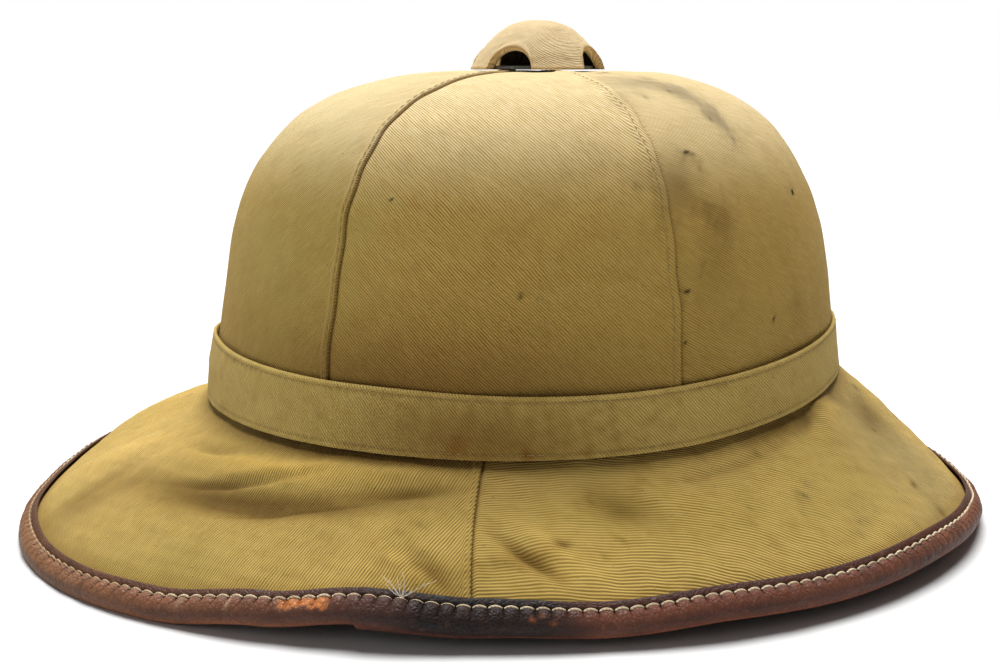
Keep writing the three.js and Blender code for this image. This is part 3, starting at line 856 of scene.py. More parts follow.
def makePanel(name, node, fromSeam, toSeam, overFrom, overTo, stitchIn, ribAngle):
    # overFrom and overTo say whether this panel laps over its neighbour at each end
    rises, upLength = evenRises(panels["rows"])
    middleAngle = np.radians((fromSeam + toSeam) / 2)
    radius = crownRadius(middleAngle, crownHeight(middleAngle, rises))
    low = seamTurn(fromSeam, rises)
    high = low + (seamTurn(turned(toSeam, 0), rises) - low) % (2 * np.pi)
    tuckLow, tuckHigh = (0 if over else panels["tuck"] for over in (overFrom, overTo))
    width = (high - low) * radius + tuckLow + tuckHigh
    middle = int(width[0] / panels["columnSize"])
    middle += (1 - 2 * len(edgeSteps) - middle) % 4  # the inner grid needs 4 n + 1 columns
    across = edgeColumns(width, middle)
    fromLow = across - tuckLow
    fromHigh = width[:, None] - across - tuckHigh
    angle = low[:, None] + fromLow / radius[:, None]
    rise = np.broadcast_to(rises[:, None], angle.shape)
    narrow = np.minimum(1, width / 30)[:, None]  # reliefs fade where the panel closes to a point
    relief = lapHeight(fromLow, stitchIn) if overFrom else tuckHeight(fromLow)
    relief = relief + (lapHeight(fromHigh, stitchIn) if overTo else tuckHeight(fromHigh))
    outer, inner = crownSurface(angle, rise, relief * narrow)
    centred = across - width[:, None] / 2
    weave = weaveMap(centred, np.broadcast_to(upLength[:, None], centred.shape), ribAngle)
    tone = crownTone(outer, angle)
    for over, x in ((overFrom, fromLow), (overTo, fromHigh)):  # dirt in the seams
        shade = bell(x - 0.1, 0.4) * (0.35 if over else 0.85)
        tone = spotTone(tone, shade, (0.3, 0.22, 0.14))
    piece = putShell(name, outer, inner, weave, tone, (0.8, 0.78, 0.72))
    return finishPiece(piece, crownCloth, "crown_cloth", node)


seamF, seamB = panels["seamFront"], panels["seamBack"]
stitchF, stitchB = panels["stitchInFront"], panels["stitchInBack"]
makePanel("crownPanelFront", "crown_panel_front", -seamF, seamF, False, False, stitchF, -34)
makePanel("crownPanelLeft", "crown_panel_left", seamF, seamB, True, False, stitchF, 46)
makePanel("crownPanelBack", "crown_panel_back", seamB, 360 - seamB, True, True, stitchB, 52)
makePanel("crownPanelRight", "crown_panel_right", -seamB, -seamF, False, True, stitchF, -44)
print("crown panels are sewn")

# ---- brim cover

cover = {
    "rows": 109,
    "columnSize": 0.95,
    "seamRoot": 99.5,
    "seamRim": 93.2,
    "tuckIn": 4.6,  # runs in under the crown's foot
    "stitchIn": 1.4,
    "slope": 1.22,  # length down the brim for each millimetre in plan, near the sides
    "underTone": (0.72, 0.74, 0.62),
}
softFolds = [
    {"angle": -161, "reach": 0.4, "spread": 2.2, "width": 0.3, "slant": 0.0, "rise": 0.8},
    {"angle": -155, "reach": 0.45, "spread": 1.6, "width": 0.3, "slant": 0.0, "rise": 0.6},
    {"angle": -168, "reach": 0.55, "spread": 2.0, "width": 0.3, "slant": 0.0, "rise": -0.7},
    {"angle": -135, "reach": 0.31, "spread": 9, "width": 0.028, "slant": -0.011, "rise": -2.0},
    {"angle": -131, "reach": 0.23, "spread": 9, "width": 0.05, "slant": -0.01, "rise": 0.9},
    {"angle": -109, "reach": 0.24, "spread": 7, "width": 0.05, "slant": -0.004, "rise": -1.5},
    {"angle": -112, "reach": 0.14, "spread": 9, "width": 0.045, "slant": -0.003, "rise": 0.9},
    {"angle": -147, "reach": 0.19, "spread": 6, "width": 0.04, "slant": -0.006, "rise": -1.2},
    {"angle": -122, "reach": 0.43, "spread": 9, "width": 0.016, "slant": -0.011, "rise": -0.35},
    {"angle": -99, "reach": 0.8, "spread": 4, "width": 0.05, "slant": 0.03, "rise": -1.1},
    {"angle": -104, "reach": 0.78, "spread": 3, "width": 0.05, "slant": 0.03, "rise": 0.7},
    {"angle": -88, "reach": 0.68, "spread": 4.6, "width": 0.045, "slant": 0.028, "rise": -1.7},
    {"angle": -86, "reach": 0.6, "spread": 5, "width": 0.06, "slant": 0.028, "rise": 1.1},
    {"angle": -76, "reach": 0.36, "spread": 6, "width": 0.1, "slant": 0.02, "rise": -0.9},
    {"angle": -69, "reach": 0.3, "spread": 6, "width": 0.1, "slant": 0.02, "rise": 0.8},
    {"angle": -36, "reach": 0.1, "spread": 3, "width": 0.07, "slant": -0.01, "rise": -1.2},
    {"angle": -31, "reach": 0.12, "spread": 2.5, "width": 0.09, "slant": -0.01, "rise": 0.9},
    {"angle": -24, "reach": 0.12, "spread": 2.2, "width": 0.08, "slant": 0.0, "rise": -1.0},
    {"angle": -55, "reach": 0.2, "spread": 12, "width": 0.04, "slant": -0.004, "rise": -0.5},
    {"angle": 110, "reach": 0.3, "spread": 14, "width": 0.04, "slant": -0.005, "rise": 0.6},
    {"angle": 35, "reach": 0.2, "spread": 3, "width": 0.12, "slant": 0.0, "rise": -0.7},
    {"angle": 150, "reach": 0.5, "spread": 2.4, "width": 0.3, "slant": 0.0, "rise": 0.6},
]
brimStainsAndShading = [
    {"angle": -138, "reach": 0.5, "wide": 34, "tall": 1.2, "colour": (0.8, 0.81, 0.77), "strength": 1.0},
    # painted light: this patch makes the side lighter and bluer
    {"angle": -163, "reach": 0.45, "wide": 12, "tall": 0.4, "colour": (1.14, 1.16, 1.35), "strength": 0.9},
    # painted highlight on a fold's ridge
    {"angle": -130, "reach": 0.2, "wide": 16, "tall": 0.06, "colour": (1.22, 1.2, 1.12), "strength": 0.9},
    # painted shade in a fold's hollow
    {"angle": -132, "reach": 0.4, "wide": 17, "tall": 0.09, "colour": (0.74, 0.7, 0.58), "strength": 0.8},
    # painted shadow in a fold's hollow
    {"angle": -76, "reach": 0.36, "wide": 5, "tall": 0.13, "colour": (0.7, 0.68, 0.52), "strength": 0.8},
    {"angle": -62, "reach": 0.5, "wide": 9, "tall": 0.25, "colour": (0.84, 0.85, 0.74), "strength": 0.6},
    {"angle": -40, "reach": 0.5, "wide": 10, "tall": 0.3, "colour": (0.8, 0.82, 0.74), "strength": 0.6},
    {"angle": -22, "reach": 0.5, "wide": 11, "tall": 0.6, "colour": (0.76, 0.81, 1.05), "strength": 1.0},
    # painted shade in a crease's hollow
    {"angle": -98, "reach": 0.8, "wide": 6, "tall": 0.1, "colour": (0.72, 0.66, 0.52), "strength": 0.6},
    {"angle": -83, "reach": 0.7, "wide": 8, "tall": 0.4, "colour": (1.16, 1.14, 1.12), "strength": 0.9},
    # painted shade in a crease's hollow
    {"angle": -88, "reach": 0.7, "wide": 4, "tall": 0.07, "colour": (0.6, 0.52, 0.38), "strength": 0.7},
    {"angle": -83.8, "reach": 0.6, "wide": 1.5, "tall": 0.04, "colour": (0.35, 0.3, 0.2), "strength": 0.9},
    {"angle": -27, "reach": 0.71, "wide": 0.9, "tall": 0.03, "colour": (0.35, 0.3, 0.2), "strength": 0.9},
    {"angle": -26, "reach": 0.9, "wide": 0.8, "tall": 0.03, "colour": (0.4, 0.34, 0.24), "strength": 0.8},
    {"angle": -43, "reach": 0.06, "wide": 11, "tall": 0.06, "colour": (0.5, 0.42, 0.28), "strength": 0.8},
    {"angle": 120, "reach": 0.5, "wide": 20, "tall": 0.3, "colour": (0.85, 0.85, 0.76), "strength": 0.6},
    {"angle": 30, "reach": 0.6, "wide": 16, "tall": 0.3, "colour": (0.88, 0.86, 0.78), "strength": 0.6},
]


def brimSeam(side, reach):  # straight from its turn at the root to its turn at the rim
    turn = np.radians(mix(cover["seamRoot"], cover["seamRim"], reach))
    return {-1: -turn, 1: turn, 2: 2 * np.pi - turn}[side]


def makeCover(name, node, fromSide, toSide, over, ribAngle):
    # the brim's law from seam to seam, with folds, seam reliefs and a tuck under the crown's foot
    rows = cover["rows"]
    reach = np.linspace(0, 1, rows)
    low, high = brimSeam(fromSide, reach), brimSeam(toSide, reach)
    meanRadius = mix(crown["side"] + 12, brim["side"] + 14, reach)
    tuck = 0 if over else panels["tuck"]
    width = (high - low) * meanRadius + 2 * tuck
    middle = int(width[-1] / cover["columnSize"])
    middle += (1 - 2 * len(edgeSteps) - middle) % 4
    across = edgeColumns(width, middle)
    fromLow = across - tuck
    fromHigh = width[:, None] - across - tuck
    angle = low[:, None] + fromLow / meanRadius[:, None]
    reachGrid = np.broadcast_to(reach[:, None], angle.shape)

    base = brimPoint(angle, reachGrid, brimFolds + softFolds)
    normal = -unitNormals(base)  # rows run outwards here, so the slopes cross the other way
    x = np.minimum(fromLow, fromHigh)
    relief = lapHeight(x, cover["stitchIn"]) if over else tuckHeight(x)
    held = smooth(6 * (1 - reachGrid))[..., None]
    rumple = 0.28 * unevenness(base, 30, 21) + 0.12 * unevenness(base, 9, 22, (1, 1, 0.6))
    push = relief + rumple * held[..., 0]
    up = edgeFrame(angle[-1])[2]
    normal = mix(up[None], normal, smooth((1 - reachGrid) / 0.16)[..., None])
    outer = base + normal * push[..., None]
    inner = base - normal * brim["wall"]
    foot = outer[0] - ringPoints(angle[0]) * cover["tuckIn"]
    foot[:, 2] = rootHeight(angle[0]) + crown["lip"] - gap
    footInner = foot - np.array([0, 0, brim["wall"]])
    share = np.linspace(0, 1, 4, endpoint=False)[:, None, None]
    outer = np.concatenate([mix(foot, outer[0], share), outer])
    inner = np.concatenate([mix(footInner, inner[0], share), inner])
    # rows turned over so that they run upwards, from the rim to the crown
    outer, inner = outer[::-1], inner[::-1]
    fullAngle = np.concatenate([np.repeat(angle[:1], 4, 0), angle])[::-1]
    fullReach = np.concatenate([np.zeros((4, angle.shape[1])), reachGrid])[::-1]
    plan = outer[..., :2]
    weave = weaveMap(plan[..., 0], plan[..., 1] * cover["slope"], ribAngle)

    tone = np.ones(outer.shape)
    degrees = np.degrees(fullAngle)
    rag = 0.35 * unevenness(outer, 12, 28) + 0.25 * unevenness(outer, 4, 29)
    tone = addStainsAndShading(tone, brimStainsAndShading, degrees, fullReach, "reach", rag)
    # painted shade in the folds' hollows and painted highlight on their ridges
    foldShading = foldRise(fullAngle, fullReach, brimFolds + softFolds)
    tone = spotTone(tone, -0.6 * foldShading, (0.42, 0.36, 0.24))
    tone = spotTone(tone, 0.4 * foldShading, (1.2, 1.17, 1.12))
    # painted shadow under the band, deepest at the middle of one side
    bandShadow = (1 - smooth((fullReach - 0.03) / 0.12)) * (0.4 + 0.6 * bell(turned(degrees, -117), 22))
    tone = spotTone(tone, bandShadow, (0.34, 0.26, 0.15))
    # polish from the leather, and dirt in the seams
    tone = spotTone(tone, 0.5 * smooth((fullReach - 0.86) / 0.08), (0.75, 0.66, 0.52))
    fullX = np.concatenate([np.repeat(x[:1], 4, 0), x])[::-1]
    tone = spotTone(tone, bell(fullX - 0.1, 0.5) * (0.4 if over else 0.8), (0.4, 0.32, 0.2))
    piece = putShell(name, outer, inner, weave, tone, cover["underTone"])
    return finishPiece(piece, brimCloth, "brim_cloth", node)


makeCover("brimCoverFront", "brim_cover_front", -1, 1, False, 3)
makeCover("brimCoverBack", "brim_cover_back", 1, 2, True, 55)
print("brim covers are laid")

# ---- hat band

band = {
    "columns": 1300,
    "width": 18.2,
    "extraBack": 3.0,
    "lessFront": 2.0,
    "footRise": 0.6,
    "meanRadius": 103,  # of the ring, for the run of its weave
    "slackRing": 100,  # radius of the circle that its slackness is laid round
    "ribAngle": -47,
    "flatLength": 660,
    "flatExtra": 0.6,  # width taken up by its rise over the edges
}
# the section's corners: out from the crown's wall, up as a share of the width
bandCorners = [
    {"out": 1.6, "up": 0.0},
    {"out": 2.9, "up": 0.0},
    {"out": 3.05, "up": 0.03},
    {"out": 2.95, "up": 0.075},
    {"out": 2.75, "up": 0.1},
    {"out": 2.75, "up": 0.25},
    {"out": 2.55, "up": 0.42},
    {"out": 2.25, "up": 0.6},
    {"out": 1.95, "up": 0.78},
    {"out": 1.75, "up": 0.9},
    {"out": 1.62, "up": 0.925},
    {"out": 1.75, "up": 0.96},
    {"out": 1.7, "up": 0.995},
    {"out": 1.2, "up": 1.01},
    {"out": 0.6, "up": 1.0},
    {"out": 0.35, "up": 0.9},
    {"out": 0.3, "up": 0.5},
    {"out": 0.5, "up": 0.1},
]


def roundedLoop(corners, passes):  # cuts the corners of a closed line at a quarter of each side
    for _ in range(passes):
        after = np.roll(corners, -1, axis=0)
        corners = np.stack([0.75 * corners + 0.25 * after, 0.25 * corners + 0.75 * after], 1)
        corners = corners.reshape(-1, corners.shape[-1])
    return corners


def bandWidth(angle):  # wider at the neck as backness^3, narrower at the front as frontness^6
    back, front = 1 - frontness(angle), frontness(angle)
    return band["width"] + band["extraBack"] * back**3 - band["lessFront"] * front**6


def bandPoint(angle, out, up):  # on the crown's wall at that height, and out from it
    height = rootHeight(angle) + band["footRise"] + bandWidth(angle) * up
    radius = crownRadius(angle, height) + out
    return np.stack([crown["centreX"] + radius * np.cos(angle), radius * np.sin(angle), height], -1)


def bandSlack(angle, up):
    # how far the band stands off the crown, and how far its upper edge strays from its line
    ring = ringPoints(angle, band["slackRing"])
    degrees = np.degrees(angle)
    top = 0.9 * bell(turned(degrees, -80), 14) + 0.25 * (1 + unevenness(ring, 60, 31))
    foot = 0.5 * bell(turned(degrees, -135), 30) + 0.25 * (1 + unevenness(ring, 45, 32))
    ease = top * smooth((up - 0.45) / 0.5) + foot * smooth((0.5 - up) / 0.5)
    return ease, 0.02 * unevenness(ring, 55, 33) * smooth((up - 0.4) / 0.5)


def makeBand():
    # the section's loop carried round the crown, off its wall by the slack and a fine rumple
    corners = np.array([[c["out"], c["up"]] for c in bandCorners])
    loop = roundedLoop(corners, 1)
    angle = np.linspace(0, 2 * np.pi, band["columns"], endpoint=False)[None]
    out, up = loop[:, :1], loop[:, 1:]
    degrees = np.degrees(angle)
    outside = smooth((out - 1.0) / 0.8)
    ease, rise = bandSlack(angle, up)
    points = bandPoint(angle, out + ease * (0.35 + 0.65 * outside), up + rise)
    rumple = 0.1 * unevenness(points, 14, 34) + 0.05 * unevenness(points, 5, 35)
    points = points + ringPoints(angle) * (rumple * outside)[..., None]

    around = np.linspace(0, 2 * np.pi * band["meanRadius"], band["columns"] + 1)[None]
    high = np.concatenate([loop[:, 1], loop[:1, 1]])[:, None] * band["width"]
    inside = np.concatenate([loop[:, 0], loop[:1, 0]])[:, None] < 1
    weave = weaveMap(around + 0 * high, np.where(inside, -high, high) + 0 * around, band["ribAngle"])

    tone = np.ones(points.shape)
    rag = 0.4 * unevenness(points, 5, 36)
    tone = addStainsAndShading(tone, bandStainsAndShading, degrees, up, "up", rag)
    worn = np.maximum(bell(up - 0.985, 0.03), bell(up - 0.03, 0.03)) * outside
    tone = spotTone(tone, 0.6 * worn + 0 * angle, (1.12, 1.12, 1.15))
    groove = np.maximum(bell(up - 0.925, 0.018), bell(up - 0.095, 0.018)) * outside
    tone = spotTone(tone, 0.6 * groove + 0 * angle, (0.66, 0.6, 0.5))
    piece = putRing("hatBand", points, weave, tone)
    finishPiece(piece, bandCloth, "band_cloth", "hat_band")


bandStainsAndShading = [
    {"angle": -104, "up": 0.2, "wide": 1.6, "tall": 0.16, "colour": (0.75, 0.5, 0.3), "strength": 0.7},
    {"angle": -92, "up": 0.14, "wide": 1.0, "tall": 0.1, "colour": (0.7, 0.45, 0.28), "strength": 0.7},
    # painted light: this patch makes the side lighter and bluer
    {"angle": -140, "up": 0.5, "wide": 20, "tall": 0.8, "colour": (1.14, 1.2, 1.28), "strength": 1.0},
    # painted shade over the band's lower half at this side
    {"angle": -100, "up": 0.3, "wide": 20, "tall": 0.7, "colour": (0.52, 0.42, 0.3), "strength": 0.9},
    {"angle": -60, "up": 0.5, "wide": 18, "tall": 0.5, "colour": (1.1, 1.1, 1.1), "strength": 0.8},
    {"angle": 100, "up": 0.4, "wide": 30, "tall": 0.5, "colour": (0.9, 0.88, 0.82), "strength": 0.5},
]
makeBand()
print("hat band is on")

# ---- leather binding and its stitches

binding = {
    "stitchPitch": 4.2,
    "columnsPerStitch": 8,
    "joinAngle": -106,
    "joinRise": 0.9,
    "scuffFrom": -114.6,
    "scuffTo": -108.4,
    "blackFrom": -102.5,  # black polish between these turns
    "blackTo": -80,
    "suede": (0.5, 0.17, 0.045),
    "threadRadius": 0.33,
    "lumpRing": 140,  # radius of the circle that its lumps are laid round
}
# the section's corners: down towards the edge, up off the cork's middle, share of the scallops' swell
bindingCorners = [
    {"down": -5.45, "up": 2.2, "swell": 0.0},
    {"down": -5.55, "up": 2.75, "swell": 0.0},
    {"down": -5.2, "up": 3.0, "swell": 0.0},
    {"down": -4.3, "up": 3.1, "swell": 0.0},
    {"down": -3.5, "up": 3.05, "swell": 0.05},
    {"down": -3.1, "up": 2.7, "swell": 0.3},
    {"down": -2.75, "up": 2.65, "swell": 0.7},
    {"down": -2.3, "up": 3.05, "swell": 1.0},
    {"down": -1.6, "up": 3.5, "swell": 0.9},
    {"down": -0.4, "up": 3.8, "swell": 0.7},
    {"down": 1.1, "up": 3.55, "swell": 0.45},
    {"down": 2.4, "up": 2.75, "swell": 0.2},
    {"down": 3.3, "up": 1.6, "swell": 0.05},
    {"down": 3.65, "up": 0.2, "swell": 0.0},
    {"down": 3.5, "up": -1.2, "swell": 0.0},
    {"down": 2.7, "up": -2.5, "swell": 0.0},
    {"down": 1.2, "up": -3.3, "swell": 0.0},
    {"down": -1.5, "up": -3.45, "swell": 0.0},
    {"down": -4.2, "up": -3.4, "swell": 0.0},
    {"down": -6.3, "up": -3.3, "swell": 0.0},
    {"down": -6.5, "up": -2.6, "swell": 0.0},
    {"down": -6.2, "up": -2.1, "swell": 0.0},
    {"down": -2.5, "up": -2.05, "swell": 0.0},
    {"down": 0.35, "up": -1.9, "swell": 0.0},
    {"down": 0.35, "up": 1.9, "swell": 0.0},
    {"down": -2.5, "up": 2.05, "swell": 0.0},
]
leatherTones = [  # colour of the leather round the rim
    {"angle": -180, "colour": (0.21, 0.095, 0.045)},
    {"angle": -150, "colour": (0.26, 0.12, 0.052)},
    {"angle": -128, "colour": (0.22, 0.088, 0.042)},
    {"angle": -112, "colour": (0.16, 0.06, 0.032)},
    {"angle": -104, "colour": (0.07, 0.026, 0.017)},
    {"angle": -88, "colour": (0.08, 0.028, 0.018)},
    {"angle": -78, "colour": (0.17, 0.056, 0.03)},
    {"angle": -50, "colour": (0.155, 0.052, 0.028)},
    {"angle": -25, "colour": (0.19, 0.068, 0.034)},
    {"angle": 0, "colour": (0.18, 0.072, 0.036)},
    {"angle": 60, "colour": (0.13, 0.05, 0.03)},
    {"angle": 120, "colour": (0.16, 0.066, 0.036)},
    {"angle": 180, "colour": (0.21, 0.095, 0.045)},
]
leatherMarks = [  # scratches, and specks where the suede shows
    {"angle": -125.6, "down": -0.4, "wide": 0.3, "tall": 1.4, "colour": (0.5, 0.33, 0.2), "strength": 0.8},
    {"angle": -119.8, "down": -0.2, "wide": 0.25, "tall": 1.6, "colour": (0.5, 0.33, 0.2), "strength": 0.7},
    {"angle": -86.5, "down": 0.6, "wide": 0.35, "tall": 0.5, "colour": (0.45, 0.13, 0.04), "strength": 0.9},
    {"angle": -85.4, "down": -0.4, "wide": 0.3, "tall": 0.4, "colour": (0.45, 0.13, 0.04), "strength": 0.8},
    {"angle": -84.2, "down": 1.2, "wide": 0.45, "tall": 0.4, "colour": (0.4, 0.12, 0.04), "strength": 0.7},
    {"angle": -141, "down": 0.3, "wide": 1.2, "tall": 0.5, "colour": (0.4, 0.22, 0.12), "strength": 0.6},
]


def evenTurns(count):  # angles that space points evenly along the cork's edge, and its whole length
    angle = np.linspace(-np.pi, np.pi, 20001)
    line = rimPoint(angle)
    length = runLength(line)
    return np.interp(np.linspace(0, length[-1], count, endpoint=False), length, angle), length[-1]


rimLength = evenTurns(8)[1]
stitchCount = int(round(rimLength / binding["stitchPitch"]))


def rimPlace(angle, down, up):  # from the cork's edge, down its slope and up off its face
    edge, downWay, upWay = edgeFrame(angle)
    return edge + downWay * down[..., None] + upWay * up[..., None]


def joinStep(degrees):  # the overlapping end: a step at the join that fades over the next 25 degrees
    past = turned(degrees, binding["joinAngle"])
    return np.where(past > 0, smooth(past / 0.35) * (1 - smooth((past - 6) / 20)), 0)


def makeBinding():
    # the section's loop carried round the rim, swelling between stitches as |sin|^0.5
    corners = np.array([[c["down"], c["up"], c["swell"]] for c in bindingCorners])
    loop = roundedLoop(corners, 1)
    columns = stitchCount * binding["columnsPerStitch"]
    turn, length = evenTurns(columns)
    degrees = np.degrees(turn)[None]
    phase = (np.arange(columns) / binding["columnsPerStitch"])[None]
    arch = np.abs(np.sin(np.pi * phase)) ** 0.5
    down, up, swell = (loop[:, i : i + 1] for i in range(3))
    ring = ringPoints(turn, binding["lumpRing"])[None]
    outside = smooth((np.hypot(down + 1, up) - 2.2) / 0.7)
    lumpy = 0.16 * unevenness(ring, 26, 41) + 0.1 * unevenness(ring, 9, 42)
    flat = smooth((up - 1.2) / 1.5)
    join = binding["joinRise"] * joinStep(degrees)
    downNow = down - swell * arch * 0.7 + join * 0.8 * smooth((down + 1) / 3)
    upNow = up + swell * (arch - 0.6) + lumpy * flat * smooth((down + 3.6) / 2)
    upNow = upNow + join * 0.5 * np.sign(up) * outside
    sag = join * smooth(-up / 2)
    torn = smooth((degrees - binding["scuffFrom"]) / 0.6) * smooth((binding["scuffTo"] - degrees) / 0.6)
    ragged = down + 0.5 * unevenness(ring, 4, 43) + 0.3 * unevenness(ring, 1.6, 44)
    tear = torn * smooth((ragged + 2.9) / 0.4) * smooth((0.9 - ragged) / 0.5) * smooth((up - 2) / 0.5)
    upNow = upNow - 0.35 * tear - sag
    grid = rimPlace(np.broadcast_to(turn, upNow.shape), downNow, upNow)
    grid[..., 2] = np.maximum(grid[..., 2], 0.02)  # pressed flat on the floor

    angles = np.array([row["angle"] for row in leatherTones], float)
    colours = np.array([row["colour"] for row in leatherTones])
    base = np.stack([np.interp(degrees[0], angles, colours[:, i]) for i in range(3)], -1)[None]
    tone = base + 0 * grid
    crest = bell(down - 2.6, 1.1) * (up > 0.4)
    tone = spotTone(tone, 0.75 * crest * (0.75 + 0.25 * unevenness(ring, 18, 45)), (0.25, 0.2, 0.2))
    # painted light: the lower face is lightened, as by light reflected up from the floor
    reflectedFromFloor = smooth((1.4 - up) / 1.2) * outside
    tone = spotTone(tone, 0.8 * reflectedFromFloor + 0 * degrees, (1.7, 1.6, 1.6))
    strip = smooth((-3.3 - down) / 0.4) * (up > 0)
    tone = spotTone(tone, 0.85 * strip + 0 * degrees, (0.3, 0.26, 0.25))
    hole = bell(down + 2.7, 0.75) * (up > 2) * (1 - arch)
    tone = spotTone(tone, 1.6 * hole, (0.06, 0.05, 0.05))
    blackStart = smooth(turned(degrees, binding["blackFrom"]) / 4)
    blackEnd = smooth(turned(-degrees, -binding["blackTo"]) / 6)
    tone = spotTone(tone, blackStart * blackEnd * (up > 0.2), (0.16, 0.17, 0.2))
    for mark in leatherMarks:  # the mark's colour replaces the leather's
        aside = turned(degrees, mark["angle"]) / mark["wide"]
        off = (down - mark["down"]) / mark["tall"]
        weight = mark["strength"] * np.exp(-(aside**2 + off**2)) * (up > 0.2)
        tone = mix(tone, np.array(mark["colour"]), np.clip(weight, 0, 1)[..., None])
    suede = np.array(binding["suede"]) * (1 + 0.25 * unevenness(grid, 1.6, 46))[..., None]
    tone = mix(tone, suede, tear[..., None])
    rowLength = runLength(loop[:, :2])
    rowLength = np.append(rowLength, rowLength[-1] + 1)
    around = np.linspace(0, length, columns + 1)[None]
    weave = np.stack(np.broadcast_arrays(around, rowLength[:, None]), -1) * mm
    piece = putRing("brimBinding", grid[::-1], weave, np.clip(tone[::-1], 0.004, 1))
    finishPiece(piece, leather, "edge_leather", "brim_binding")


def tubes(paths, radii, sides):
    # paths is (tubes, steps, 3); each becomes a tube with round section and pointed closed ends
    count, steps = paths.shape[:2]
    along = np.gradient(paths, axis=1)
    along /= np.maximum(np.linalg.norm(along, axis=-1, keepdims=True), 1e-9)
    helper = np.where(np.abs(along[..., 2:]) < 0.8, np.array([0, 0, 1.0]), np.array([1.0, 0, 0]))
    sideways = np.cross(along, helper)
    sideways /= np.linalg.norm(sideways, axis=-1, keepdims=True)
    upwards = np.cross(sideways, along)
    turn = np.linspace(0, 2 * np.pi, sides, endpoint=False)
    ring = np.cos(turn)[:, None] * sideways[..., None, :] + np.sin(turn)[:, None] * upwards[..., None, :]
    skin = paths[..., None, :] + ring * radii[..., None, None]
    head = paths[:, 0] - along[:, 0] * radii[:, :1]
    tail = paths[:, -1] + along[:, -1] * radii[:, -1:]
    points = np.concatenate([skin.reshape(count, -1, 3), np.stack([head, tail], 1)], 1)
    stride = steps * sides + 2
    squares = gridSquares(steps, sides, wrapColumns=True)[0]
    side = np.arange(sides)
    after = (side + 1) % sides
    headFan = np.stack([np.full(sides, steps * sides), side, after], -1)
    last = (steps - 1) * sides
    tailFan = np.stack([np.full(sides, steps * sides + 1), last + after, last + side], -1)
    first = (np.arange(count) * stride)[:, None, None]
    faces4 = (squares[:, ::-1] + first).reshape(-1, 4)
    faces3 = (np.concatenate([headFan, tailFan]) + first).reshape(-1, 3)
    meanLength = np.linalg.norm(paths[:, -1] - paths[:, 0], axis=-1).mean()
    length = np.linspace(0, 1, steps)[:, None] * meanLength * mm
    uv = np.stack(np.broadcast_arrays(length, np.linspace(0, 1, sides)[None]), -1).reshape(-1, 2)
    flat = np.tile(np.concatenate([uv, uv[:1], uv[-1:]]), (count, 1))
    return points.reshape(-1, 3), [(faces4, flat[faces4]), (faces3, flat[faces3])]


def putTubes(name, paths, radius, sides, tone, material, slotName):  # tone has a colour per tube
    radii = np.broadcast_to(radius, paths.shape[:2])
    points, groups = tubes(paths, radii, sides)
    each = np.repeat(tone, len(points) // len(paths), axis=0)
    piece = putMesh(name, points, groups, each)
    return finishPiece(piece, material, slotName)


def makeBrimStitches():
    # each loops over the crest of its scallop, from hole to hole, and a straight one runs beneath
    q = np.linspace(0.1, 0.9, 9)[None]  # along one stitch
    number = np.arange(stitchCount)[:, None]
    arc = (number + q) / stitchCount
    table = np.linspace(-np.pi, np.pi, 20001)
    line = rimPoint(table)
    length = runLength(line)
    turn = np.interp(arc * length[-1], length, table)
    bow = np.sin(np.pi * q)
    down = -2.35 - 0.75 * bow**0.7 + 0 * turn
    up = 2.3 + 1.15 * bow**0.45 + 0 * turn
    top = rimPlace(turn, down, up)
    beneath = rimPlace(turn, -2.9 + 0 * turn, -3.3 - 0.28 * bow**0.6 + 0 * turn)
    beneath[..., 2] = np.maximum(beneath[..., 2], 0.4)
    degrees = np.degrees(turn[:, 4])
    soiled = smooth((-118 - degrees) / 24)[:, None]
    tone = mix(np.ones((stitchCount, 3)), np.array([0.62, 0.48, 0.36]), soiled)
    paths = np.concatenate([top, beneath])
    tone = np.concatenate([tone, tone * 0.7])
    putTubes("brimStitches", paths, binding["threadRadius"], 6, tone, creamThread, "edge_leather")


tuft = {
    "angle": -101,
    "fibres": 11,
    "steps": 9,
    "length": (3.5, 9.5),
    "lean": 55,  # degrees either side of upright
    "radius": 0.13,
    "curl": 0.35,
    "tone": (1.3, 1.45, 1.8),
}


def makeTuft():
    # frayed ends of the sewing thread: curved fibres fanning up from one stitch
    dice = np.random.default_rng(61)
    count = tuft["fibres"]
    fan = np.linspace(-tuft["lean"], tuft["lean"], count)
    lean = np.radians(fan + dice.uniform(-9, 9, count))[:, None]
    length = dice.uniform(*tuft["length"], count)[:, None]
    curl = dice.uniform(-tuft["curl"], tuft["curl"], count)[:, None]
    q = np.linspace(0, 1, tuft["steps"])[None]
    turn = np.full((count, tuft["steps"]), math.radians(tuft["angle"]))
    root = rimPlace(turn, -3.3 + 0 * turn, 3.2 + 0 * turn)
    sideways = np.stack([-np.sin(turn), np.cos(turn), 0 * turn], -1)
    _, down, up = edgeFrame(turn)
    aside = length * (q * np.sin(lean) + curl * q**2)
    above = length * q * np.cos(lean) * 0.55
    inwards = length * q * np.cos(lean) * 0.7
    paths = root + sideways * aside[..., None] + up * above[..., None] - down * inwards[..., None]
    radii = tuft["radius"] * (1 - 0.6 * q) + 0 * turn
    putTubes("threadTuft", paths, radii, 5, np.tile(tuft["tone"], (count, 1)), creamThread, "edge_leather")


makeBinding()
makeBrimStitches()
makeTuft()
print("leather binding is stitched:", stitchCount, "stitches")

# ---- stitching on seams and band

seamThread = {"length": 2.2, "gap": 0.8, "radius": 0.14, "sunk": 0.1}


